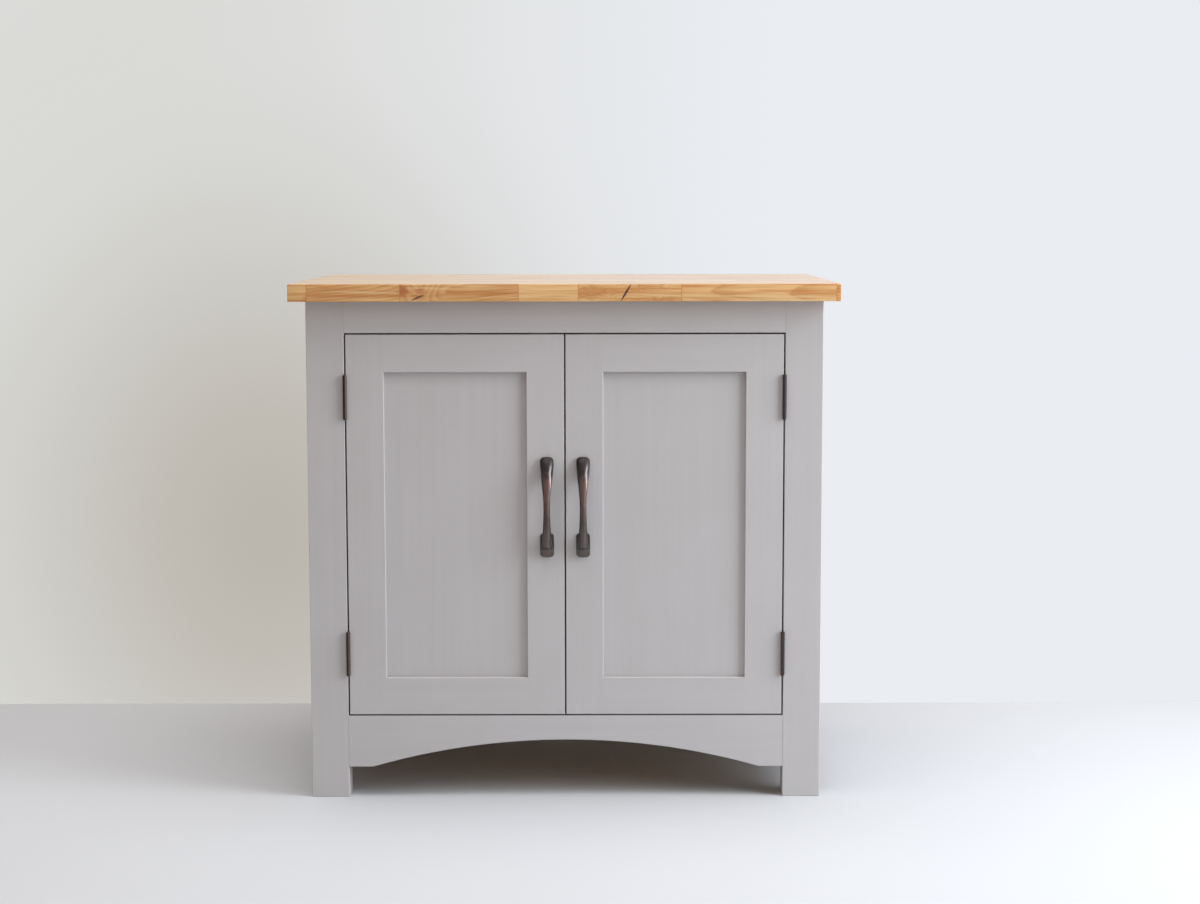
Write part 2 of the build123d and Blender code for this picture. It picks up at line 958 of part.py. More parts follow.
def handle():
    """A cast handle: a waisted bow lofted between two flat feet, the upper one shorter."""
    bow = loft([bow_slice(offset) for offset in bow_stations()])
    bow = bow - Pos(0, handle_length / 2, 0) * Box(handle_length, handle_length, handle_length * 1.5)
    for step, length in ((-1, handle_pad_length), (1, handle_upper_pad_length)):
        foot = Plane.XZ * RectangleRounded(handle_pad_width, length, handle_pad_radius)
        foot = extrude(foot, handle_pad_thickness)
        foot = chamfer(foot.faces().sort_by(Axis.Y)[0].edges(), handle_pad_bevel)
        bow = bow + Pos(0, 0, step * (handle_length - length) / 2) * foot
    bow = Pos(handle_x, front_y, handle_height) * bow
    return cut_all(bow, [place * handle_bolt_hole() for place in handle_bolt_places()])


def handle_bolts():
    """The two bolts of the right-hand handle."""
    return group(place * handle_bolt() for place in handle_bolt_places())


# Catches


def catch_head_limits():
    """The head of the right-hand catch, just behind the strike plate."""
    half = catch_head_length / 2
    front = door_back + strike_thickness + strike_gap
    return (
        catch_distance - half,
        catch_distance + half,
        front,
        front + catch_head_depth,
        opening_top - catch_head_drop,
        opening_top,
    )


def magnet_limits():
    """The magnet in the head of the right-hand catch."""
    front = catch_head_limits()[2]
    middle = opening_top - catch_head_drop / 2
    return (
        catch_distance - magnet_length / 2,
        catch_distance + magnet_length / 2,
        front,
        front + magnet_depth,
        middle - magnet_height / 2,
        middle + magnet_height / 2,
    )


def catch_housing():
    """The right-hand catch: a plate behind the top rail and a head below it."""
    x0, x1, y0, y1, z0, z1 = catch_head_limits()
    head = block(x0, x1, y0, y1, z0, z1)
    bridge = block(x0, x1, front_rail_back, y1, z1, z1 + catch_bridge_height)
    plate = block(
        catch_distance - catch_length / 2,
        catch_distance + catch_length / 2,
        front_rail_back,
        front_rail_back + catch_plate_thickness,
        opening_top,
        opening_top + catch_plate_height,
    )
    housing = head + bridge + plate
    pocket = block(*grown(magnet_limits(), glue_line))
    return cut_all(housing, [pocket] + screw_holes(catch_screw_places(), catch_screw))


def strike_screw_place():
    """Placing of the screw through the right-hand strike plate."""
    return Pos(catch_distance, door_back + strike_thickness, strike_height_middle()) * INTO_MINUS_Y


def strike_plate():
    """The steel plate on the back of the right-hand door that the magnet holds."""
    middle = strike_height_middle()
    plate = block(
        catch_distance - strike_length / 2,
        catch_distance + strike_length / 2,
        door_back,
        door_back + strike_thickness,
        middle - strike_height / 2,
        middle + strike_height / 2,
    )
    plate = fillet(plate.edges().filter_by(Axis.Y), 2)
    return cut_all(plate, screw_holes([strike_screw_place()], strike_screw))


def mirrored_group(solids):
    """Right-hand solids and their mirror images as one group."""
    return group(piece for solid in solids for piece in both_sides(solid))


def carcass_nodes():
    """Every piece that stands still, by name."""
    bottom, top = rail_levels
    pair = {
        "front_leg": front_leg(),
        "rear_leg": rear_leg(),
        "side_top_rail": side_rail(*top),
        "side_bottom_rail": side_rail(*bottom),
        "side_panel": side_panel(),
        "lower_frame_leaf": hinge_leaf(1, hinge_heights[0]),
        "upper_frame_leaf": hinge_leaf(1, hinge_heights[1]),
        "hinge_pins": group(hinge_pin(height) for height in hinge_heights),
    }
    nodes = {
        "worktop": worktop(),
        "front_top_rail": front_top_rail(),
        "front_arched_rail": front_bottom_rail(),
        "rear_top_rail": rear_rail(*top),
        "rear_bottom_rail": rear_rail(*bottom),
        "back_boards": back_boards(),
        "back_board_screws": group(screws(back_screw_places(), back_screw)),
        "cupboard_floor": cupboard_floor(),
        "floor_cleats": floor_cleats(),
        "cleat_screws": group(screws(cleat_screw_places(), cleat_screw)),
        "shelf": shelf(),
        "shelf_bearers": shelf_bearers(),
        "worktop_buttons": worktop_buttons(),
        "button_screws": group(screws(button_screw_places(), button_screw)),
        "catch_housings": group(both_sides(catch_housing())),
        "catch_magnets": group(both_sides(block(*magnet_limits()))),
        "catch_screws": mirrored_group(screws(catch_screw_places(), catch_screw)),
        "frame_hinge_screws": mirrored_group(screws(frame_screw_places(), hinge_screw)),
    }
    for name, shape in pair.items():
        nodes["right_" + name] = shape
        nodes["left_" + name] = to_left(shape)
    return nodes


def door_nodes():
    """Every piece of the two doors, by name."""
    blank = door_blank()
    bottom, top = door_rail_levels
    pieces = {
        "door_hinge_stile": hinge_stile(blank),
        "door_meeting_stile": meeting_stile(blank),
        "door_top_rail": door_rail(blank, *top),
        "door_bottom_rail": door_rail(blank, *bottom),
        "door_panel": door_panel(),
        "handle": handle(),
        "handle_bolts": handle_bolts(),
        "lower_door_leaf": hinge_leaf(-1, hinge_heights[0]),
        "upper_door_leaf": hinge_leaf(-1, hinge_heights[1]),
        "door_hinge_screws": group(screws(door_screw_places(), hinge_screw)),
        "strike_plate": strike_plate(),
        "strike_screw": strike_screw_place() * countersunk_screw(strike_screw),
    }
    nodes = {}
    for name, shape in pieces.items():
        nodes["right_" + name] = shape
        nodes["left_" + name] = to_left(shape)
    return nodes


def main():
    """Writes one file for each named piece."""
    os.makedirs("parts", exist_ok=True)
    nodes = carcass_nodes()
    nodes.update(door_nodes())
    for name, shape in nodes.items():
        export_step(shape, f"parts/{name}.step")
    print(len(nodes), "pieces written")


main()
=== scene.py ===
import math

import bmesh
import bpy
import numpy as np
from mathutils import Matrix, Vector


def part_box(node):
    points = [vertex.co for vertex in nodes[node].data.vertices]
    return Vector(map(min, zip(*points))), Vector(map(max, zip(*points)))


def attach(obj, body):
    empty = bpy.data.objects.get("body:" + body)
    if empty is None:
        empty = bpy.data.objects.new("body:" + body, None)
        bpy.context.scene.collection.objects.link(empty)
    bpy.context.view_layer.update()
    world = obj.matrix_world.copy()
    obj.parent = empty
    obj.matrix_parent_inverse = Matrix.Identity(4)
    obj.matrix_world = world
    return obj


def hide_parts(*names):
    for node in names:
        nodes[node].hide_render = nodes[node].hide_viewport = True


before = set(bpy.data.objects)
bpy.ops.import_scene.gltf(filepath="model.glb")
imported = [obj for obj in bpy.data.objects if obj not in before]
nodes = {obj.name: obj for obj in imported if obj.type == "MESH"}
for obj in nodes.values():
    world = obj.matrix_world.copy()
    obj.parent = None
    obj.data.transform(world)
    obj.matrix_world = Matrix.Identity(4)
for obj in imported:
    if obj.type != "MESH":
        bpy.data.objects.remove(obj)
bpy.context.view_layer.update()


# Camera
# It stands about four metres in front of the cupboard, a little above the worktop and a hand's
# width to the right of the middle, and looks slightly down.

image_width = 1200.0
sensor_width = 36.0
focal_length_px = 2191.1
camera_place = (0.0580, -4.0455, 1.0166)
camera_yaw = -0.0007
camera_pitch = -0.1078
camera_roll = -0.0013

camera_data = bpy.data.cameras.new("camera")
camera_data.sensor_width = sensor_width
camera_data.lens = focal_length_px / image_width * sensor_width
camera = bpy.data.objects.new("camera", camera_data)
bpy.context.scene.collection.objects.link(camera)
camera.matrix_world = (
    Matrix.Translation(camera_place)
    @ Matrix.Rotation(camera_yaw, 4, "Z")
    @ Matrix.Rotation(math.pi / 2 + camera_pitch, 4, "X")
    @ Matrix.Rotation(camera_roll, 4, "Z")
)
bpy.context.scene.camera = camera
bpy.context.scene.view_settings.view_transform = "Standard"


# Floor, backdrop and light
# A pale floor and a pale backdrop close behind. A tall cool lamp stands in front on the right, a
# broad one hangs above, and weaker warm light comes from all round. Reflections see a dim room in
# front on the left.

floor_radius = 5.0
floor_fade = (1.1, 3.2)
floor_colour = (0.545, 0.560, 0.584)
floor_roughness = 0.6
backdrop_place = 0.46
backdrop_reach = 3.0
backdrop_fade = (1.7, 2.8)
backdrop_shaded_left = (0.700, 0.703, 0.680)
backdrop_lit_right = (0.823, 0.846, 0.887)
backdrop_turn = (-0.9, 0.6)
backdrop_painted_shadow = (0.470, 0.435, 0.380)
painted_shadow_place = (-0.48, 0.46, 0.36)
painted_shadow_reach = 1.05
background_colour = (0.80, 0.82, 0.84)
room_colour = (0.240, 0.240, 0.255)
room_front = (-0.5, 0.2)
room_left = (0.1, 0.7)
fill_colour = (1.0, 0.860, 0.740)
fill_strength = 0.415
side_lamp = ((2.65, -1.2, 1.65), (0.0, 0.0, 0.45), 1.7, 2.4, 113.0, (0.88, 0.94, 1.0))
ceiling_lamp = ((-0.2, -0.4, 3.6), (0.0, 0.0, 0.4), 2.6, 2.6, 100.0, (0.975, 0.98, 1.0))


class Value:
    """A number or vector that changes over a surface, worked out with + - * / and **."""

    def __init__(self, finish, socket):
        self.finish = finish
        self.socket = socket

    def maths(self, operation, *others):
        """One Math node on this value and others."""
        inputs = {i: v for i, v in enumerate((self, *others))}
        return self.finish.node("ShaderNodeMath", {"operation": operation}, inputs)

    def __add__(self, other):
        return self.maths("ADD", other)

    __radd__ = __add__

    def __sub__(self, other):
        return self.maths("SUBTRACT", other)

    def __rsub__(self, other):
        return self.finish.node("ShaderNodeMath", {"operation": "SUBTRACT"}, {0: other, 1: self})

    def __mul__(self, other):
        return self.maths("MULTIPLY", other)

    __rmul__ = __mul__

    def __truediv__(self, other):
        return self.maths("DIVIDE", other)

    def __pow__(self, other):
        return self.maths("POWER", other)

    def between(self, low, high):
        """0 below low, 1 above high and a smooth step between."""
        return self.finish.node(
            "ShaderNodeMapRange",
            {"interpolation_type": "SMOOTHSTEP"},
            {"Value": self, "From Min": low, "From Max": high},
        )


class Finish:
    """A material on one shader, whose other nodes are added one call at a time."""

    def __init__(self, name, **constants):
        self.material = bpy.data.materials.new(name)
        self.material.use_nodes = True
        self.tree = self.material.node_tree
        self.shader = self.tree.nodes["Principled BSDF"]
        for socket, value in constants.items():
            self.shader.inputs[socket.replace("_", " ")].default_value = value

    def node(self, kind, settings=None, inputs=None, output=0):
        """Adds a node: its settings first, then the values or links of its sockets."""
        made = self.tree.nodes.new(kind)
        for name, value in (settings or {}).items():
            setattr(made, name, value)
        for key, value in (inputs or {}).items():
            if isinstance(value, Value):
                self.tree.links.new(value.socket, made.inputs[key])
            else:
                made.inputs[key].default_value = value
        return Value(self, made.outputs[output])

    def feed(self, **links):
        """Joins values to the shader's sockets."""
        for socket, value in links.items():
            self.tree.links.new(value.socket, self.shader.inputs[socket.replace("_", " ")])

    def place(self):
        """The point of the surface, in metres."""
        return self.node("ShaderNodeTexCoord", output="Object")

    def axis(self, point, name):
        """One coordinate of a point."""
        return self.node("ShaderNodeSeparateXYZ", None, {0: point}, output=name)

    def length(self, point):
        """How far a point lies from the origin."""
        return self.node(
            "ShaderNodeVectorMath", {"operation": "LENGTH"}, {0: point}, output="Value"
        )

    def distance(self, point, place):
        """How far a point lies from a fixed place."""
        return self.node(
            "ShaderNodeVectorMath", {"operation": "DISTANCE"}, {0: point, 1: place}, output="Value"
        )

    def given(self, name, output="Fac"):
        """What the mesh gives by name: a number, or with output="Vector" three."""
        return self.node("ShaderNodeAttribute", {"attribute_name": name}, output=output)

    def stretched(self, point, scale):
        """A point scaled differently along each axis, for a pattern."""
        return self.node(
            "ShaderNodeMapping", {"vector_type": "POINT"}, {"Vector": point, "Scale": scale}
        )

    def noise(self, point, scale, detail=3.0, roughness=0.5, seed=0.0):
        """Smooth noise from 0 to 1, with scale in waves a metre."""
        return self.node(
            "ShaderNodeTexNoise", {"noise_dimensions": "4D"},
            {"Vector": point, "W": seed, "Scale": scale, "Detail": detail, "Roughness": roughness},
        )

    def mix(self, share, first, second, blend="MIX"):
        """Two colours mixed by a share. The sockets of the node's colours are 6, 7 and 2."""
        return self.node(
            "ShaderNodeMix", {"data_type": "RGBA", "blend_type": blend},
            {0: share, 6: first, 7: second}, output=2,
        )

    def bump(self, height, depth, below=None):
        """A normal from a height of 0 to 1 that stands for a depth in metres."""
        inputs = {"Height": height, "Distance": depth, "Strength": 1.0}
        if below:
            inputs["Normal"] = below
        return self.node("ShaderNodeBump", None, inputs)


def rgba(colour):
    """A colour with full alpha, as a colour socket takes it."""
    return (*colour, 1.0)


def floor_mesh():
    """A flat square in the plane of the floor."""
    mesh = bpy.data.meshes.new("floor")
    r = floor_radius
    mesh.from_pydata([(-r, -r, 0), (r, -r, 0), (r, r, 0), (-r, r, 0)], [], [(0, 1, 2, 3)])
    return mesh


def floor_finish():
    """Matt pale paint that turns clear towards the rim, by distance from the middle."""
    finish = Finish("pale_floor", Roughness=floor_roughness, Base_Color=rgba(floor_colour))
    finish.feed(Alpha=1.0 - finish.length(finish.place()).between(*floor_fade))
    return finish.material


def backdrop_mesh():
    """A flat upright square behind the object, facing the front."""
    mesh = bpy.data.meshes.new("backdrop")
    r, y = backdrop_reach, backdrop_place
    mesh.from_pydata([(-r, y, 0), (r, y, 0), (r, y, r), (-r, y, r)], [], [(0, 1, 2, 3)])
    return mesh


def backdrop_finish():
    """Pale and glowing by itself, with painted light: brighter and cooler to the right, darker and
    warmer to the left, and a painted soft shadow left of the object.

    It is there for the camera and for reflections, from the front only, is clear at its rim and
    lights nothing.
    """
    finish = Finish(
        "pale_backdrop", Base_Color=rgba((0.0, 0.0, 0.0)), Specular_IOR_Level=0.0,
        Emission_Strength=1.0,
    )
    point = finish.place()
    seen = finish.node("ShaderNodeLightPath", output="Is Camera Ray")
    seen = seen.maths("MAXIMUM", finish.node("ShaderNodeLightPath", output="Is Glossy Ray"))
    behind = finish.node("ShaderNodeNewGeometry", output="Backfacing")
    length = finish.length(point)
    from_painted_shadow = finish.distance(point, painted_shadow_place)
    # Painted light and shade: the glow is darker to the left, and a painted shadow darkens it left
    # of the object.
    rightwards = finish.axis(point, "X").between(*backdrop_turn)
    plain = finish.mix(rightwards, rgba(backdrop_shaded_left), rgba(backdrop_lit_right))
    painted_shadow = (1.0 - from_painted_shadow.between(0.0, painted_shadow_reach)) * (1.0 - rightwards)
    finish.feed(Emission_Color=finish.mix(painted_shadow, plain, rgba(backdrop_painted_shadow)))
    finish.feed(Alpha=seen * (1.0 - behind) * (1.0 - length.between(*backdrop_fade)))
    return finish.material


for name, mesh, material in (
    ("floor", floor_mesh(), floor_finish()),
    ("backdrop", backdrop_mesh(), backdrop_finish()),
):
    ground = bpy.data.objects.new(name, mesh)
    ground.data.materials.append(material)
    bpy.context.scene.collection.objects.link(ground)


class Surroundings(Finish):
    """The world, whose nodes are added in the same way."""

    def __init__(self, name):
        bpy.context.scene.world = bpy.data.worlds.new(name)
        bpy.context.scene.world.use_nodes = True
        self.tree = bpy.context.scene.world.node_tree
        self.shader = self.tree.nodes["Background"]


world = Surroundings("surroundings")
world.shader.inputs["Color"].default_value = rgba(fill_colour)
world.shader.inputs["Strength"].default_value = fill_strength
camera_ray, glossy_ray, clear_ray = (
    world.node("ShaderNodeLightPath", output=f"Is {kind} Ray")
    for kind in ("Camera", "Glossy", "Transmission")
)
direction = world.node("ShaderNodeTexCoord", output="Generated")
in_front = (0.0 - world.axis(direction, "Y")).between(*room_front)
to_left = 1.0 - world.axis(direction, "X").between(*room_left)
dim = in_front * to_left * (1.0 - camera_ray)
room = world.mix(dim, rgba(background_colour), rgba(room_colour))
seen = world.node("ShaderNodeBackground", None, {"Color": room})
seen_rays = camera_ray.maths("MAXIMUM", glossy_ray).maths("MAXIMUM", clear_ray)
fill = Value(world, world.shader.outputs[0])
choice = world.node("ShaderNodeMixShader", None, {0: seen_rays, 1: fill, 2: seen})
world.tree.links.new(choice.socket, world.tree.nodes["World Output"].inputs[0])


def soft_light(name, place, aim, width, height, power, colour):
    """A flat lamp at a place, turned to aim at a point."""
    data = bpy.data.lights.new(name, "AREA")
    data.shape = "RECTANGLE"
    data.size = width
    data.size_y = height
    data.energy = power
    data.color = colour
    lamp = bpy.data.objects.new(name, data)
    bpy.context.scene.collection.objects.link(lamp)
    turn = (Vector(place) - Vector(aim)).to_track_quat("Z", "Y")
    lamp.matrix_world = Matrix.Translation(place) @ turn.to_matrix().to_4x4()


soft_light("side", *side_lamp)
soft_light("ceiling", *ceiling_lamp)


# Painted timber
# Every board of the body and doors has the same satin paint over planed timber. It is brushed
# along the grain, and a little of the grain and of the brush marks shows through.

paint_light = (0.494, 0.483, 0.495)
paint_dark = (0.464, 0.450, 0.456)
paint_shares = (0.34, 0.33, 0.33)
paint_contrast = (0.3, 0.7)
paint_roughness = (0.34, 0.12)
paint_edge = 0.0001
wave_scale = 7.0
wave_depth = 0.0006
figure_scale = 0.22
figure_depth = 0.00008
brush_depth = 0.00004
arris_width = 0.00035
arris_angle = math.radians(35)
weld_distance = 1e-6
flat_angle = math.radians(0.5)
grain_scales = {"x": (5.0, 330.0, 330.0), "y": (330.0, 5.0, 330.0), "z": (330.0, 330.0, 5.0)}
bare_light = (0.640, 0.450, 0.270)
bare_dark = (0.470, 0.290, 0.150)


def painted_timber(name, along, bare_below=None):
    """Satin paint: its tone is a sum of brush marks, figure and cloud, three noises.

    Brush marks and figure are drawn out sixty-six to one along the grain. Below a height, where
    one is given, the timber is left bare.
    """
    finish = Finish(name)
    point = finish.place()
    board = finish.given("board")
    drawn = finish.stretched(point, grain_scales[along])
    brush = finish.noise(drawn, 1.0, detail=4.0, roughness=0.62, seed=board * 3.7)
    figure = finish.noise(drawn, figure_scale, detail=2.0, seed=board * 2.3)
    cloud = finish.noise(point, wave_scale, detail=2.0, seed=board)
    tone = brush * paint_shares[0] + figure * paint_shares[1] + cloud * paint_shares[2]
    colour = finish.mix(tone.between(*paint_contrast), rgba(paint_dark), rgba(paint_light))
    if bare_below:
        height = finish.axis(point, "Z")
        bare = 1.0 - height.between(bare_below - paint_edge, bare_below + paint_edge)
        timber = finish.mix(brush.between(*paint_contrast), rgba(bare_dark), rgba(bare_light))
        colour = finish.mix(bare, colour, timber)
    finish.feed(Base_Color=colour)
    finish.feed(Roughness=paint_roughness[0] + paint_roughness[1] * brush)
    wavy = finish.bump(cloud, wave_depth)
    grained = finish.bump(figure, figure_depth, below=wavy)
    finish.feed(Normal=finish.bump(brush, brush_depth, below=grained))
    return finish.material


paint = {along: painted_timber(f"satin_paint_{along}", along) for along in "xyz"}


def shown(name, mesh, material, body, slot, *stood_for):
    """A new piece on a body, in place of the nodes that it stands for."""
    mesh.materials.clear()
    mesh.materials.append(material)
    piece = bpy.data.objects.new(name, mesh)
    bpy.context.scene.collection.objects.link(piece)
    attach(piece, body)
    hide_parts(*stood_for)
    return piece


def welded_copy(node, name):
    """A node's loose facets welded into whole flat faces, as a new mesh."""
    mesh = nodes[node].data.copy()
    mesh.name = name
    shape = bmesh.new()
    shape.from_mesh(mesh)
    bmesh.ops.remove_doubles(shape, verts=shape.verts, dist=weld_distance)
    bmesh.ops.dissolve_limit(
        shape, angle_limit=flat_angle, use_dissolve_boundaries=False,
        verts=shape.verts, edges=shape.edges,
    )
    shape.to_mesh(mesh)
    shape.free()
    return mesh


def smooth_to(mesh, angle):
    """Smooth shading that breaks at edges sharper than an angle."""
    mesh.shade_smooth()
    mesh.set_sharp_from_angle(angle=angle)


def give_each_point(mesh, name, values):
    """A number at each vertex, for a material to read."""
    attribute = mesh.attributes.new(name, "FLOAT", "POINT")
    attribute.data.foreach_set("value", np.asarray(values, np.float32))


def eased(node, body, material, width, slot):
    """The node with its sharp edges eased, standing in its place on the same body."""
    name = f"eased_{node}"
    mesh = welded_copy(node, name)
    give_each_point(mesh, "board", np.full(len(mesh.vertices), list(nodes).index(node)))
    smooth_to(mesh, arris_angle)
    piece = shown(name, mesh, material, body, slot, node)
    edge = piece.modifiers.new("eased_edges", "BEVEL")
    edge.width = width
    edge.segments = 2
    edge.limit_method = "ANGLE"
    edge.angle_limit = arris_angle
    edge.use_clamp_overlap = True
    flat = piece.modifiers.new("flat_faces", "WEIGHTED_NORMAL")
    flat.mode = "FACE_AREA"
    flat.keep_sharp = True
    return piece


def painted(along, body, *names):
    """Painted boards whose grain runs along an axis."""
    for name in names:
        eased(name, body, paint[along], arris_width, "painted_timber")


# Legs
# Four square posts from the floor to the worktop, in one length, with softened corners.

painted("z", "carcass", "left_front_leg", "right_front_leg", "left_rear_leg", "right_rear_leg")


# Rails
# Straight rails tenoned between the legs at the top and bottom. The lower front one is cut to a
# shallow arch.

painted("x", "carcass", "front_top_rail", "front_arched_rail", "rear_top_rail", "rear_bottom_rail")
for side in ("left", "right"):
    painted("y", "carcass", f"{side}_side_top_rail", f"{side}_side_bottom_rail")


# Side panels and back
# A flat panel loose in its grooves on each side, and tongued and grooved boards behind.

painted("z", "carcass", "left_side_panel", "right_side_panel", "back_boards")


# Cupboard floor and shelf
# A floor board level with the arched rail and a loose shelf half-way up, painted inside too. The
# floor board is left bare underneath.

floor_underside = 0.1272
paint["x bare below"] = painted_timber("satin_paint_bare_below", "x", floor_underside)

painted("x bare below", "carcass", "cupboard_floor")
painted("x", "carcass", "shelf")
painted("y", "carcass", "shelf_bearers")


# Floor cleats and worktop buttons
# Unpainted square cleats inside the bottom rails carry the floor. Unpainted wooden buttons, with
# a tongue in a slot of the top rails, hold the worktop and let it move.

bare_arris = 0.0005
bare_grains = ((16.0, 800.0), (5.0, 130.0))
bare_shares = (0.45, 0.55)
bare_contrast = (0.33, 0.66)
bare_roughness = (0.62, 0.12)
bare_depth = 0.00006


def corner_points(mesh):
    """The places of the vertices, one row each."""
    points = np.empty(len(mesh.vertices) * 3)
    mesh.vertices.foreach_get("co", points)
    return points.reshape(-1, 3)


def solids_of(mesh):
    """Which solid each vertex belongs to: the lowest number spreads along the edges of each."""
    edges = np.empty(len(mesh.edges) * 2, int)
    mesh.edges.foreach_get("vertices", edges)
    edges = edges.reshape(-1, 2)
    label = np.arange(len(mesh.vertices))
    before = None
    while before is None or (label != before).any():
        before = label.copy()
        lowest = label[edges].min(axis=1)
        np.minimum.at(label, edges[:, 0], lowest)
        np.minimum.at(label, edges[:, 1], lowest)
    return np.unique(label, return_inverse=True)[1]


def solid_boxes(points, label):
    """The lowest and highest corners of each solid."""
    low = np.full((label.max() + 1, 3), np.inf)
    high = -low
    np.minimum.at(low, label, points)
    np.maximum.at(high, label, points)
    return low, high


def bare_timber():
    """Planed timber: fibres and bands drawn out along X, or along Y where a solid is turned."""
    finish = Finish("bare_timber")
    point = finish.place()
    turned = finish.given("turned")
    seed = finish.given("solid") * 1.7
    fibre, band = (
        (1.0 - turned) * finish.noise(finish.stretched(point, (long, wide, wide)), 1.0, seed=seed)
        + turned * finish.noise(finish.stretched(point, (wide, long, wide)), 1.0, seed=seed)
        for long, wide in bare_grains
    )
    tone = (fibre * bare_shares[0] + band * bare_shares[1]).between(*bare_contrast)
    finish.feed(Base_Color=finish.mix(tone, rgba(bare_dark), rgba(bare_light)))
    finish.feed(Roughness=bare_roughness[0] + bare_roughness[1] * fibre)
    finish.feed(Normal=finish.bump(fibre, bare_depth))
    return finish.material


bare = bare_timber()
for name in ("floor_cleats", "worktop_buttons"):
    piece = eased(name, "carcass", bare, bare_arris, "bare_timber")
    label = solids_of(piece.data)
    low, high = solid_boxes(corner_points(piece.data), label)
    size = high - low
    give_each_point(piece.data, "solid", label)
    give_each_point(piece.data, "turned", (size[:, 1] > size[:, 0])[label])


# Screws of the body
# Slotted countersunk steel screws hold the back boards, the cleats and the buttons. Their heads
# lie flush, each with its slot turned as the driver left it.

zinc_light = (0.560, 0.550, 0.520)
zinc_dark = (0.380, 0.370, 0.345)
zinc_roughness = (0.34, 0.16)
scratch_depth = 0.00001
slot_width = 0.0009
slot_depth = 0.0008
screw_columns = 13
screw_play = 0.00005
back_screw = (0.0030, 0.0056, 0.0240)
cleat_screw = (0.0035, 0.0065, 0.0320)
button_screw = (0.0040, 0.0076, 0.0300)

driver = np.random.default_rng(5)


def countersunk(sizes):
    """The outline of a countersunk screw, rim to point: rows of radius and depth."""
    shank, head, length = sizes
    rim = head / 2 + screw_play
    cone = rim - shank / 2
    return np.array([
        (rim, 0.0), (shank / 2, cone), (shank / 2, length - shank * 0.4),
        (shank * 0.3, length), (0.0, length),
    ])


def slotted(outline):
    """One screw, head up at the origin: its outline spun round Z, with a slot across the top.

    The top is columns across the disc, at the cosines of even angles. The columns of the slot
    stand double, and their lower row is sunk to where the outline has the slot's depth.
    """
    radius, depth = outline.T
    x = radius[0] * np.cos(np.linspace(math.pi, 0, screw_columns))
    side = slot_width / 2
    outer = x[np.abs(x) > side * 1.5]
    x = np.concatenate([outer[outer < 0], [-side, -side, side, side], outer[outer > 0]])
    sunk = np.zeros(len(x), bool)
    middle = len(x) // 2
    sunk[middle - 1:middle + 1] = True
    top_radius = np.where(sunk, np.interp(slot_depth, depth, radius), radius[0])
    y = np.sqrt(np.maximum(top_radius**2 - x**2, 0.0))
    loop_x = np.concatenate([x, x[::-1]])
    loop_y = np.concatenate([y, -y[::-1]])
    loop_z = -slot_depth * np.concatenate([sunk, sunk[::-1]])
    angle = np.arccos(x / radius[0])
    angle = np.concatenate([angle, 2 * math.pi - angle[::-1]])
    lower = np.stack([
        radius[1:, None] * np.cos(angle), radius[1:, None] * np.sin(angle),
        -depth[1:, None] * np.ones_like(angle),
    ], axis=2)
    points = np.concatenate([np.stack([loop_x, loop_y, loop_z], axis=1)[None], lower])
    count = len(x)
    left = np.arange(count - 1)
    top = np.stack([left, 2 * count - 1 - left, 2 * count - 2 - left, left + 1], axis=1)
    around = np.arange(2 * count)
    after = (around + 1) % (2 * count)
    rows = np.arange(len(outline) - 1)[:, None] * 2 * count
    below = rows + 2 * count
    sides = np.stack([rows + around, rows + after, below + after, below + around], axis=2)
    return points.reshape(-1, 3), np.concatenate([top, sides.reshape(-1, 4)])


def close_mesh(mesh):
    """Welds the seams of a closed mesh and turns its faces outwards."""
    shape = bmesh.new()
    shape.from_mesh(mesh)
    bmesh.ops.remove_doubles(shape, verts=shape.verts, dist=weld_distance)
    bmesh.ops.recalc_face_normals(shape, faces=shape.faces)
    shape.to_mesh(mesh)
    shape.free()


def screw_frames(node):
    """Where the screws of a node stand: the middles of their heads, and unit vectors outwards.

    A screw lies along the longest side of its box, and its head is the end that spreads widest.
    """
    mesh = welded_copy(node, "screws_as_packed")
    points = corner_points(mesh)
    label = solids_of(mesh)
    low, high = solid_boxes(points, label)
    bpy.data.meshes.remove(mesh)
    each, every = np.arange(len(low)), np.arange(len(points))
    axis = (high - low).argmax(axis=1)
    middle = (low + high) / 2
    from_middle = points - middle[label]
    along = from_middle[every, axis[label]]
    from_middle[every, axis[label]] = 0.0
    spread = np.linalg.norm(from_middle, axis=1)
    widest = np.zeros((len(low), 2))
    np.maximum.at(widest, (label, (along > 0).astype(int)), spread)
    outwards = np.zeros((len(low), 3))
    outwards[each, axis] = np.where(widest[:, 1] > widest[:, 0], 1.0, -1.0)
    return middle + outwards * (high - low)[each, axis][:, None] / 2, outwards


def screw_set(name, node, outline, body, material, slot):
    """Screws in place of a node's: the same screw at each, its slot turned by chance."""
    points, faces = slotted(outline)
    heads, outwards = screw_frames(node)
    beside = np.roll(outwards, 1, axis=1)
    above = np.cross(outwards, beside)
    turn = driver.uniform(0, math.pi, len(heads))[:, None]
    across = np.cos(turn) * beside + np.sin(turn) * above
    along = np.cross(outwards, across)
    placed = (
        heads[:, None] + points[:, 0, None] * across[:, None]
        + points[:, 1, None] * along[:, None] + points[:, 2, None] * outwards[:, None]
    )
    shifted = faces + np.arange(len(heads))[:, None, None] * len(points)
    mesh = bpy.data.meshes.new(name)
    mesh.from_pydata(placed.reshape(-1, 3), [], shifted.reshape(-1, 4).tolist())
    close_mesh(mesh)
    smooth_to(mesh, arris_angle)
    shown(name, mesh, material, body, slot, node)


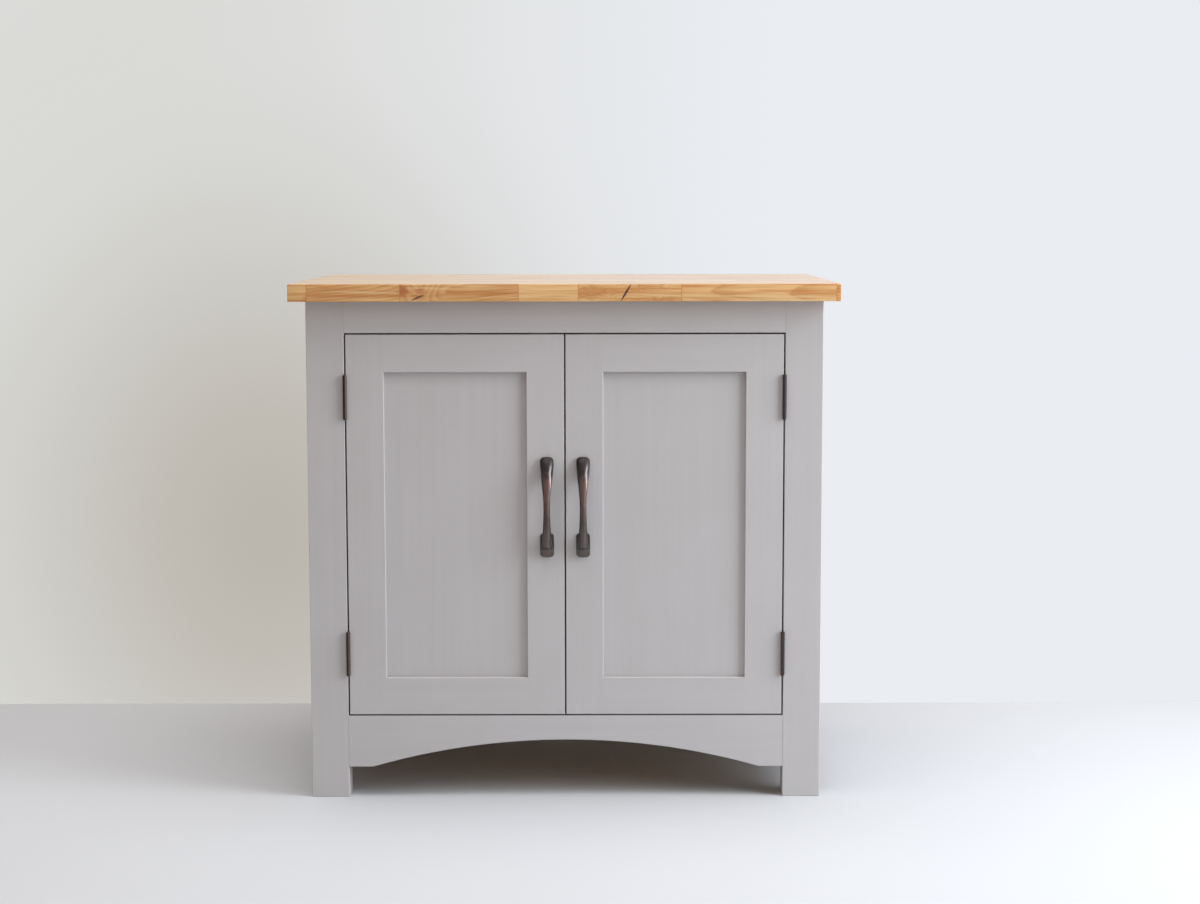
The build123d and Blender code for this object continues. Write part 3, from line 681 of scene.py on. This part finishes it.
def zinc_plate():
    """Dull zinc plating, clouded and finely scratched."""
    finish = Finish("zinc_plate", Metallic=0.9)
    point = finish.place()
    cloud = finish.noise(point, 260.0, detail=3.0)
    scratch = finish.noise(finish.stretched(point, (400.0, 2600.0, 2600.0)), 1.0, detail=2.0)
    tone = cloud.between(0.35, 0.65)
    finish.feed(Base_Color=finish.mix(tone, rgba(zinc_dark), rgba(zinc_light)))
    finish.feed(Roughness=zinc_roughness[0] + zinc_roughness[1] * scratch)
    finish.feed(Normal=finish.bump(scratch, scratch_depth))
    return finish.material


zinc = zinc_plate()
for name, node, sizes in (
    ("board_screws", "back_board_screws", back_screw),
    ("floor_screws", "cleat_screws", cleat_screw),
    ("top_screws", "button_screws", button_screw),
):
    screw_set(name, node, countersunk(sizes), "carcass", zinc, "bright_steel")


# Worktop
# One slab of solid staves, glued side by side and end to end and finished with clear oil. The
# front stave has two reddish knots and a short dark streak near its left end, and a second
# streak right of the middle.

worktop_edge_radius = 0.0011
stave_count = 15
most_blocks = 16
drawn_lengths = 12
stave_lengths = (0.14, 0.44)
ring_spacing = 0.0052
ring_centre_reach = (0.012, 0.070)
ring_lean = 0.09
ring_jitter = 0.35
late_power = 2.2
late_end = 0.93
low_scale = (5.0, 22.0, 22.0)
low_warp = 0.016
fibre_scale = (14.0, 700.0, 700.0)
stripe_scale = (9.0, 120.0, 120.0)
band_scale = (5.0, 150.0, 150.0)
ragged_scale = 130.0
timber_light = (0.725, 0.455, 0.205)
timber_dark = (0.450, 0.185, 0.050)
timber_red = (0.500, 0.190, 0.055)
timber_pale = (0.740, 0.540, 0.290)
least_depth = 0.22
late_shares = (0.34, 0.36)
fibre_share = 0.50
tone_share = 0.40
stripe_shares = (0.2, 1.1)
stave_contrast = (-0.05, 0.85)
red_bands = (0.50, 0.66)
red_share = 0.65
pale_bands = (0.34, 0.47)
pale_share = 0.60
top_painted_sheen = (0.770, 0.830, 0.920)
skin = (0.0008, 0.0001)
stave_roughness = (0.30, 0.14)
stave_coat = (0.28, 0.20, 0.24)
late_depth = 0.00003
fibre_depth = 0.00002

front_depth = (0.012, 0.022)
front_joints = (-0.439, -0.280, -0.078, 0.024, 0.200, 0.464)
front_leans = (0.02, -0.09, -0.15, 0.03, -0.05, 0.04, 0.0)
front_tones = (0.35, 0.60, 0.72, 0.10, 0.58, 0.48, 1.0)
joint_half = 0.0005
joint_blur = 0.0002
joint_share = 0.55
curl_span = (0.024, 0.200)
curl_fade = (0.01, 0.03)
curl_scale = (26.0, 34.0, 34.0)
curl_warp = 0.040
knots = (((-0.2755, -0.310, 0.889), 0.015, 0.95), ((-0.2440, -0.310, 0.887), 0.011, 0.60))
knot_ragged = 0.016
knot_core = 0.3
knot_bend = 0.045
knot_warp = 0.012
timber_knot = (0.360, 0.100, 0.034)
streaks = (
    (((-0.2610, 0.8720), (-0.2385, 0.8815)), 0.0021, 0.85),
    (((0.0965, 0.8710), (0.1145, 0.9000)), 0.0025, 0.97),
)
streak_ragged = 0.0016
streak_core = 0.45
streak_least = 0.0001
timber_streak = (0.080, 0.032, 0.034)

chance = np.random.default_rng(11)
top_low, top_high = (np.array(corner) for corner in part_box("worktop"))


def edge_lines(low, high, middle):
    """Grid lines from one end to the other, closer together round the two edges."""
    round_part = worktop_edge_radius * (1 - np.cos(np.linspace(0, math.pi / 2, 5)))
    inner_low, inner_high = low + worktop_edge_radius, high - worktop_edge_radius
    inner = [line for line in middle if inner_low < line < inner_high]
    return np.unique(np.concatenate([low + round_part, inner, high - round_part]).round(7))


def box_side(axis, value, lines):
    """A flat grid on one side of a box: its points, and faces as rows of four corners."""
    first, second = (i for i in range(3) if i != axis)
    a, b = np.meshgrid(lines[first], lines[second], indexing="ij")
    points = np.empty((a.size, 3))
    points[:, axis] = value
    points[:, first] = a.ravel()
    points[:, second] = b.ravel()
    corner = np.arange(a.size).reshape(a.shape)[:-1, :-1].ravel()
    step = a.shape[1]
    return points, np.stack([corner, corner + step, corner + step + 1, corner + 1], axis=1)


def rounded_slab(low, high, radius, lines):
    """Six grids on a box, whose points near an edge move to a quarter round of the radius."""
    points, faces, count = [], [], 0
    for axis in range(3):
        for value in (low[axis], high[axis]):
            side_points, side_faces = box_side(axis, value, lines)
            points.append(side_points)
            faces.append(side_faces + count)
            count += len(side_points)
    points = np.concatenate(points)
    core = np.clip(points, low + radius, high - radius)
    away = points - core
    length = np.linalg.norm(away, axis=1, keepdims=True)
    points = core + away * (radius / np.maximum(length, radius * 0.1))
    mesh = bpy.data.meshes.new("slab")
    mesh.from_pydata(points, [], np.concatenate(faces).tolist())
    close_mesh(mesh)
    return mesh


def stave_joints():
    """The end joints of each stave, front to back: the front one's as seen, others by chance."""
    joints = [np.array(front_joints)]
    for _ in range(stave_count - 1):
        lengths = chance.uniform(*stave_lengths, drawn_lengths)
        joints.append(top_low[0] - chance.uniform(0, stave_lengths[1]) + np.cumsum(lengths))
    return joints


def worktop_mesh():
    """A rounded slab whose faces know their stave: a shift of the rings, a lean and a tone."""
    joints = stave_joints()
    rows = np.linspace(top_low[1], top_high[1], stave_count + 1)
    lines = [
        edge_lines(top_low[0], top_high[0], np.concatenate(joints)),
        edge_lines(top_low[1], top_high[1], rows),
        edge_lines(top_low[2], top_high[2], []),
    ]
    mesh = rounded_slab(top_low, top_high, worktop_edge_radius, lines)
    centres = np.empty(len(mesh.polygons) * 3)
    mesh.polygons.foreach_get("center", centres)
    centres = centres.reshape(-1, 3)
    row = np.clip(np.searchsorted(rows, centres[:, 1]) - 1, 0, stave_count - 1)
    block = np.zeros(len(centres), int)
    for number, ends in enumerate(joints):
        inside = row == number
        block[inside] = np.searchsorted(ends, centres[inside, 0])
    stave = row * most_blocks + block
    total = stave_count * most_blocks
    turn = chance.uniform(0, 2 * math.pi, total)
    reach = chance.uniform(*ring_centre_reach, total)
    row_middle = (rows[:-1] + rows[1:])[np.arange(total) // most_blocks] / 2
    shift = np.stack([
        chance.uniform(0, 5, total),
        reach * np.cos(turn) - row_middle,
        reach * np.sin(turn) - (top_low[2] + top_high[2]) / 2,
    ], axis=1)
    lean = np.stack([
        chance.uniform(-ring_lean, ring_lean, total),
        chance.uniform(-ring_lean, ring_lean, total),
        chance.uniform(0, 1, total),
    ], axis=1)
    lean[:len(front_leans), 1] = front_leans
    lean[:len(front_tones), 2] = front_tones
    for name, values in (("stave_shift", shift), ("stave_lean", lean)):
        attribute = mesh.attributes.new(name, "FLOAT_VECTOR", "FACE")
        attribute.data.foreach_set("vector", values[stave].astype(np.float32).ravel())
    smooth_to(mesh, arris_angle)
    return mesh


def in_streak(x, z, ends, width, wander):
    """1 inside a dark streak between two points of the front edge, widest half-way along."""
    (x0, z0), (x1, z1) = ends
    length = math.hypot(x1 - x0, z1 - z0)
    along = ((x - x0) * (x1 - x0) + (z - z0) * (z1 - z0)) / length**2
    beside = ((z - z0) * (x1 - x0) - (x - x0) * (z1 - z0)) / length + wander
    taper = (along * (1.0 - along) * 4.0).maths("MAXIMUM", 0.0)
    share = beside.maths("ABSOLUTE") / (taper * width + streak_least)
    return 1.0 - share.between(streak_core, 1.0)


def oiled_staves():
    """Growth rings about a leaning axis in each stave, with bands and fine fibres along it.

    A ring number is the distance from the axis over the ring spacing, and its fraction, raised to
    a power, is the late wood, the darker. The ends show rings alone, the top's colour is cooled as
    a painted sheen, and the front has glue lines, curls, knots and streaks.
    """
    finish = Finish("oiled_staves", Coat_Roughness=0.16, Specular_IOR_Level=0.3)
    point = finish.place()
    x, y, z = (finish.axis(point, name) for name in "XYZ")
    shift = finish.given("stave_shift", "Vector")
    lean = finish.given("stave_lean", "Vector")
    seed = finish.axis(shift, "X") * 10.0
    tone = finish.axis(lean, "Z")
    in_front = 1.0 - y.between(top_low[1] + front_depth[0], top_low[1] + front_depth[1])
    low = finish.noise(finish.stretched(point, low_scale), 1.0, detail=2.0, seed=seed)
    curl = finish.noise(finish.stretched(point, curl_scale), 1.0, detail=2.0, seed=7.0)
    curled = x.between(curl_span[0], curl_span[0] + curl_fade[0])
    curled = curled * (1.0 - x.between(curl_span[1] - curl_fade[1], curl_span[1])) * in_front
    ragged = finish.noise(point, ragged_scale, detail=3.0, roughness=0.6, seed=2.0)
    from_knots = [finish.distance(point, place) for place, _, _ in knots]
    past_joint = x.between(front_joints[1] - joint_blur, front_joints[1] + joint_blur)
    bent = (1.0 - from_knots[1].between(0.0, knot_bend)) * past_joint * in_front
    warp = (low - 0.5) * low_warp + bent * knot_warp + (curl - 0.5) * curled * curl_warp
    across = y + finish.axis(shift, "Y") + finish.axis(lean, "X") * x + warp
    up = z + finish.axis(shift, "Z") + finish.axis(lean, "Y") * x + warp
    radius = (across * across + up * up).maths("SQRT")
    fibre = finish.stretched(point, fibre_scale)
    fibre = finish.noise(fibre, 1.0, detail=3.0, roughness=0.6, seed=seed)
    ring = (radius / ring_spacing + fibre * ring_jitter).maths("FRACT")
    late = ring ** late_power * (1.0 - ring.between(late_end, 1.0))
    stripe = finish.stretched(point, stripe_scale)
    stripe = finish.noise(stripe, 1.0, detail=3.0, seed=seed + 3.0)
    band = finish.stretched(point, band_scale)
    band = finish.noise(band, 1.0, detail=2.0, seed=seed + 6.0)
    on_end = x.maths("ABSOLUTE").between(*(top_high[0] - under for under in skin))
    on_top = z.between(*(top_high[2] - under for under in skin))
    lengthways = 1.0 - on_end
    depth = late * (late_shares[0] + late_shares[1] * on_end)
    depth = depth + (fibre - 0.5) * fibre_share + (tone - 0.5) * tone_share + least_depth
    depth = depth + (stripe - 0.5) * (stripe_shares[0] + stripe_shares[1] * lengthways)
    colour = finish.mix(depth.between(*stave_contrast), rgba(timber_light), rgba(timber_dark))
    red = band.between(*red_bands) * lengthways * red_share
    colour = finish.mix(red, colour, rgba(timber_red))
    pale = (1.0 - band.between(*pale_bands)) * lengthways * pale_share
    colour = finish.mix(pale, colour, rgba(timber_pale))
    # Painted sheen: the top's colour is cooled and darkened, standing in for the pale reflection
    # it shows at a low angle.
    colour = finish.mix(on_top, colour, rgba(top_painted_sheen), blend="MULTIPLY")
    from_joint = (x - front_joints[0]).maths("ABSOLUTE")
    for joint in front_joints[1:]:
        from_joint = from_joint.maths("MINIMUM", (x - joint).maths("ABSOLUTE"))
    at_joint = (1.0 - from_joint.between(joint_half, joint_half * 2.5)) * in_front
    colour = finish.mix(at_joint * joint_share, colour, rgba(timber_dark))
    for from_knot, (_, reach, share) in zip(from_knots, knots):
        uneven = from_knot + (ragged - 0.5) * knot_ragged
        in_knot = 1.0 - uneven.between(reach * knot_core, reach)
        in_knot = in_knot * in_front * (0.25 + 0.75 * past_joint)
        colour = finish.mix(in_knot * share * (0.30 + 0.90 * ragged), colour, rgba(timber_knot))
    for ends, width, share in streaks:
        streak = in_streak(x, z, ends, width, (ragged - 0.5) * streak_ragged)
        colour = finish.mix(streak * in_front * share, colour, rgba(timber_streak))
    finish.feed(Base_Color=colour)
    finish.feed(Roughness=stave_roughness[0] + stave_roughness[1] * fibre)
    finish.feed(Coat_Weight=stave_coat[0] + stave_coat[1] * stripe + stave_coat[2] * on_top)
    grained = finish.bump(late, late_depth)
    finish.feed(Normal=finish.bump(fibre, fibre_depth, below=grained))
    return finish.material


shown("worktop_staves", worktop_mesh(), oiled_staves(), "carcass", "worktop_timber", "worktop")


# Doors
# Two framed doors, each a flat panel in the grooves of two stiles and two rails, which are
# mortised and tenoned together.

for side in ("left", "right"):
    painted("x", f"{side}_door", f"{side}_door_top_rail", f"{side}_door_bottom_rail")
    painted("z", f"{side}_door", f"{side}_door_hinge_stile", f"{side}_door_meeting_stile")
    painted("z", f"{side}_door", f"{side}_door_panel")


# Hinges
# Four steel butt hinges with an aged dark finish, let in flush, with five knuckles and a loose
# pin. The barrels carry a painted reflection: browner on the side of the door and bluer on the
# side of the leg.

hinge_line = 0.3787
hinge_turn = (-0.0003, 0.0013)
hinge_ragged = 0.0016
hinge_brown_reflection = (0.100, 0.066, 0.048)
hinge_blue_reflection = (0.034, 0.040, 0.050)
hinge_rub = (0.170, 0.160, 0.160)
rub_share = 0.4
pin_red = (0.150, 0.070, 0.050)
steel_roughness = (0.30, 0.22)
steel_depth = 0.00003
metal_arris = 0.00018
hinge_screw = (0.0035, 0.0065, 0.0190)


def aged_steel(name, inner, outer):
    """Dark patina with rubbed spots, and a painted reflection: one colour towards the door,
    another towards the leg.
    """
    finish = Finish(name, Metallic=0.85)
    point = finish.place()
    cloud = finish.noise(point, 180.0, detail=4.0, roughness=0.6)
    from_middle = finish.axis(point, "X").maths("ABSOLUTE") + (cloud - 0.5) * hinge_ragged
    # Painted reflection: the barrel's side towards the leg is bluer, its side towards the door
    # browner.
    painted_reflection_side = from_middle.between(*(hinge_line + turn for turn in hinge_turn))
    colour = finish.mix(painted_reflection_side, rgba(inner), rgba(outer))
    rubbed = finish.noise(point, 900.0, detail=3.0, seed=3.0).between(0.55, 0.75) * rub_share
    finish.feed(Base_Color=finish.mix(rubbed, colour, rgba(hinge_rub)))
    finish.feed(Roughness=steel_roughness[0] + steel_roughness[1] * cloud)
    finish.feed(Normal=finish.bump(cloud, steel_depth))
    return finish.material


hinge_steel = aged_steel("hinge_patina_and_reflection", hinge_brown_reflection, hinge_blue_reflection)
pin_steel = aged_steel("aged_pin_steel", pin_red, pin_red)
for side in ("left", "right"):
    for level in ("lower", "upper"):
        eased(f"{side}_{level}_frame_leaf", "carcass", hinge_steel, metal_arris, "hinge_steel")
        eased(f"{side}_{level}_door_leaf", f"{side}_door", hinge_steel, metal_arris, "hinge_steel")
    eased(f"{side}_hinge_pins", "carcass", pin_steel, metal_arris, "hinge_steel")
    screw_set(
        f"{side}_leaf_screws", f"{side}_door_hinge_screws", countersunk(hinge_screw),
        f"{side}_door", hinge_steel, "hinge_steel",
    )
screw_set(
    "leg_leaf_screws", "frame_hinge_screws", countersunk(hinge_screw),
    "carcass", hinge_steel, "hinge_steel",
)


# Handles
# Two cast bow handles with an aged bronze finish, each a waisted bow between two flat feet, held
# by two pan-headed bolts from inside the door.

handle_middle = (0.0313, -0.280, 0.5132)
handle_half = 0.08725
bow_rows = 121
ring_sides = 48
bow_under = 0.022
bow_root = 0.060
bow_widths = (
    (-88, 22.8), (-77, 22.8), (-72, 21.8), (-67, 18.0), (-58, 16.2), (-43, 14.6), (-30, 13.0),
    (-16, 11.8), (0, 11.1), (18, 12.0), (31, 14.4), (45, 18.0), (58, 21.2), (70, 23.4), (88, 23.0),
)
bow_fronts = (
    (-88, 6.0), (-73, 18.2), (-65, 21.2), (-54, 24.0), (-40, 26.3), (-20, 27.7), (0, 28.0),
    (20, 27.2), (40, 24.8), (54, 21.5), (64, 18.2), (75, 13.6), (82, 9.6), (88, 4.0),
)
bow_crease = -0.0715
crease_reach = 0.004
bow_shoulder = 0.34
end_corner = 0.0075
end_narrowing = 0.9
foot_sizes = ((-0.06640, 0.0242, 0.0417), (0.0740, 0.0205, 0.0255))
foot_corner = 0.0062
foot_rubbed = 0.60
foot_profile = ((0.0, 0.0), (0.0, 0.0021), (0.0004, 0.0028), (0.0012, 0.0032), (0.0100, 0.0032))
bronze_dark = (0.026, 0.020, 0.020)
bronze_brown = (0.096, 0.067, 0.062)
bronze_copper = (0.215, 0.128, 0.106)
bronze_floor_reflection = (0.130, 0.098, 0.084)
crest_wear_and_shade_span = (0.25, 0.95)
dull_span = (0.046, 0.076)
dull_share = 0.75
held_span = (-0.030, 0.030)
held_end = (0.036, 0.062)
copper_share = 0.9
floor_reflection_share = 0.8
crease_half = (0.0008, 0.0030)
crease_shade_share = 0.85
dome_span = (0.066, 0.078)
bronze_roughness = (0.23, 0.14, 0.06, 0.20)
bronze_coat = (0.62, 0.57)
bronze_depth = 0.00010
bolt_outline = np.array([
    (0.0032, 0.0), (0.0040, 0.0008), (0.0040, 0.0022),
    (0.0020, 0.0022), (0.0020, 0.0322), (0.0, 0.0322),
])


def smoothed(offset, pairs, reach):
    """A curve through pairs, rounded by its mean over a reach on both sides."""
    at, value = np.array(pairs).T / 1000
    steps = np.linspace(-reach, reach, 9)
    return np.interp(offset[:, None] + steps, at, value).mean(axis=1)


def grid_faces(rows, columns):
    """Faces of a grid whose columns close on themselves."""
    row, column = np.meshgrid(np.arange(rows - 1), np.arange(columns), indexing="ij")
    first = (row * columns + column).ravel()
    second = (row * columns + (column + 1) % columns).ravel()
    return np.stack([first, second, second + columns, first + columns], axis=1)


def closed(points):
    """Rings of points with one more at each end, drawn in to the middle of the end ring."""
    caps = points[[0, -1]].mean(axis=1, keepdims=True) + 0 * points[[0, -1]]
    return np.concatenate([caps[:1], points, caps[1:]])


def bow_surface():
    """The bow: along it, an oval section whose width and height follow two curves.

    The section is half an ellipse in front of its shoulder and a squarer half behind it. Near
    each end the width draws in by a quarter circle, and the last row closes on a point. The crest
    is 1 in front and 0 behind; the material keeps it brown and darkens the rest, partly as wear
    and partly as painted shade.
    """
    round_off = end_corner * (1 - np.cos(np.linspace(0, math.pi / 2, 7)))
    offset = np.unique(np.concatenate([
        np.linspace(-handle_half, handle_half, bow_rows),
        bow_crease + np.array((-0.0003, 0.0, 0.0003)),
        handle_half - round_off, round_off - handle_half,
    ]).round(6))
    width = smoothed(offset, bow_widths, 0.006)
    into_end = np.clip(np.abs(offset) - (handle_half - end_corner), 0, end_corner)
    drawn_in = end_corner - np.sqrt(end_corner**2 - into_end**2)
    width = width - 2 * drawn_in * end_narrowing
    sharp, rounded = (smoothed(offset, bow_fronts, reach) for reach in (0.0, 0.005))
    front = np.where(offset < bow_crease + crease_reach, sharp, rounded)
    back = np.maximum(0.0, bow_under * (1 - (np.abs(offset) / bow_root) ** 4))
    shoulder = back + (front - back) * bow_shoulder
    angle = np.linspace(0, 2 * math.pi, ring_sides, endpoint=False)
    cosine, sine = np.cos(angle), np.sin(angle)
    across = np.where(sine > 0, cosine, np.sign(cosine) * np.abs(cosine) ** 0.5)
    rise = np.where(sine > 0, sine, -np.abs(sine) ** 0.5)
    height = np.where(sine > 0, (front - shoulder)[:, None], (shoulder - back)[:, None])
    x = width[:, None] / 2 * across
    y = -(shoulder[:, None] + height * rise)
    z = offset[:, None] + 0 * x
    points = closed(np.stack([x, y, z], axis=2))
    crest = np.where(sine > 0, 1 - np.abs(cosine) ** 3, 0.0) + 0 * points[:, :, 0]
    return points.reshape(-1, 3), grid_faces(*points.shape[:2]), crest.ravel()


def foot_surface(middle, width, length):
    """One foot: a rounded rectangle that draws in and rises by its profile, closed on the door."""
    angle = np.linspace(0, 2 * math.pi, ring_sides, endpoint=False)
    corner = np.stack([
        np.sign(np.cos(angle).round(6)) * (width / 2 - foot_corner),
        np.sign(np.sin(angle).round(6)) * (length / 2 - foot_corner),
    ], axis=1)
    ray = np.stack([np.cos(angle), np.sin(angle)], axis=1)
    inset, height = np.array(foot_profile).T
    ring = corner[None] * np.clip(1 - inset / foot_corner, 0.3, 1)[:, None, None]
    ring = ring + ray[None] * (foot_corner - np.minimum(inset, foot_corner))[:, None, None]
    x, z = ring[:, :, 0], middle + ring[:, :, 1]
    points = closed(np.stack([x, -height[:, None] + 0 * x, z], axis=2))
    crest = np.full(points.shape[0] * points.shape[1], foot_rubbed)
    return points.reshape(-1, 3), grid_faces(*points.shape[:2]), crest


def handle_mesh(name, mirrored):
    """The bow and its two feet in their place on the right door, or mirrored on the left."""
    points, faces, crest = zip(bow_surface(), *(foot_surface(*sizes) for sizes in foot_sizes))
    starts = np.cumsum([0] + [len(part) for part in points[:-1]])
    points = np.concatenate(points) + handle_middle
    faces = np.concatenate([part + start for part, start in zip(faces, starts)])
    points[:, 0] *= -1 if mirrored else 1
    mesh = bpy.data.meshes.new(name)
    mesh.from_pydata(points, [], faces.tolist())
    give_each_point(mesh, "crest", np.concatenate(crest))
    close_mesh(mesh)
    smooth_to(mesh, math.radians(50))
    return mesh


def aged_bronze():
    """Dark on its sides and back, partly where it is never touched and partly as painted shade at
    its edges; brown along the crest and coppery where the hand lies.

    The upper end is duller. A painted shade darkens the crease above the lower end, and below the
    crease a speckled paler colour is a painted reflection of the floor.
    """
    finish = Finish("aged_bronze", Metallic=0.7, Coat_Roughness=0.07)
    point = finish.place()
    along = finish.axis(point, "Z") - handle_middle[2]
    crest = finish.given("crest")
    mottle = finish.noise(point, 120.0, detail=4.0, roughness=0.6)
    speckle = finish.noise(point, 1100.0, detail=2.0, seed=6.0)
    uneven = along + (mottle - 0.5) * 0.05
    # Painted shade in part: the sides and back fall to the dark colour, as wear and as the shade
    # at the bow's edges.
    rubbed = (crest + (mottle - 0.5) * 0.7).between(*crest_wear_and_shade_span)
    rubbed = rubbed * (1.0 - uneven.between(*dull_span) * dull_share)
    colour = finish.mix(rubbed, rgba(bronze_dark), rgba(bronze_brown))
    held = uneven.between(*held_span) * (1.0 - uneven.between(*held_end))
    colour = finish.mix(held * rubbed * copper_share, colour, rgba(bronze_copper))
    # Painted reflection: below the crease the bronze turns paler and speckled, standing in for the
    # bright floor it faces.
    lower_end = 1.0 - along.between(bow_crease - crease_reach, bow_crease)
    pale = lower_end * speckle.between(0.38, 0.62) * floor_reflection_share
    colour = finish.mix(pale, colour, rgba(bronze_floor_reflection))
    # Painted shade: a dark band along the crease above the lower end.
    from_crease = (along - bow_crease - 0.001).maths("ABSOLUTE")
    painted_crease_shade = 1.0 - from_crease.between(*crease_half)
    colour = finish.mix(painted_crease_shade * crease_shade_share, colour, rgba(bronze_dark))
    finish.feed(Base_Color=colour)
    dome = along.between(*dome_span)
    least, by_mottle, by_speckle, by_dome = bronze_roughness
    finish.feed(Roughness=least + by_mottle * mottle + by_speckle * speckle + by_dome * dome)
    finish.feed(Coat_Weight=bronze_coat[0] - bronze_coat[1] * dome)
    finish.feed(Normal=finish.bump(mottle, bronze_depth))
    return finish.material


bronze = aged_bronze()
for side in ("left", "right"):
    bow = handle_mesh(f"{side}_bow_handle", side == "left")
    shown(f"{side}_bow_handle", bow, bronze, f"{side}_door", "handle_bronze", f"{side}_handle")
    screw_set(
        f"{side}_pan_bolts", f"{side}_handle_bolts", bolt_outline,
        f"{side}_door", zinc, "bright_steel",
    )


# Catches
# A moulded magnetic catch behind the top rail for each door, and a plated strike plate with one
# screw on the back of the door.

plastic_pale = (0.640, 0.625, 0.580)
plastic_shade = (0.590, 0.570, 0.520)
ferrite_light = (0.085, 0.085, 0.088)
ferrite_dark = (0.045, 0.045, 0.047)
plastic_arris = 0.0004
catch_screw = (0.0026, 0.0050, 0.0140)
strike_screw = (0.0026, 0.0050, 0.0120)


def moulded(name, light, dark, roughness):
    """A moulded surface: a fine even grain and a slight cloudiness."""
    finish = Finish(name)
    point = finish.place()
    cloud = finish.noise(point, 90.0, detail=2.0)
    grain = finish.noise(point, 2400.0, detail=2.0)
    finish.feed(Base_Color=finish.mix(cloud.between(0.3, 0.7), rgba(dark), rgba(light)))
    finish.feed(Roughness=roughness + 0.1 * grain)
    finish.feed(Normal=finish.bump(grain, 0.00002))
    return finish.material


plastic = moulded("moulded_plastic", plastic_pale, plastic_shade, 0.42)
ferrite = moulded("sintered_magnet", ferrite_light, ferrite_dark, 0.55)
eased("catch_housings", "carcass", plastic, plastic_arris, "catch_plastic")
eased("catch_magnets", "carcass", ferrite, plastic_arris, "magnet")
screw_set(
    "housing_screws", "catch_screws", countersunk(catch_screw), "carcass", zinc, "bright_steel"
)
for side in ("left", "right"):
    eased(f"{side}_strike_plate", f"{side}_door", zinc, metal_arris, "bright_steel")
    screw_set(
        f"{side}_plate_screw", f"{side}_strike_screw", countersunk(strike_screw),
        f"{side}_door", zinc, "bright_steel",
    )


# Last update
# The scene is brought up to date.

bpy.context.view_layer.update()
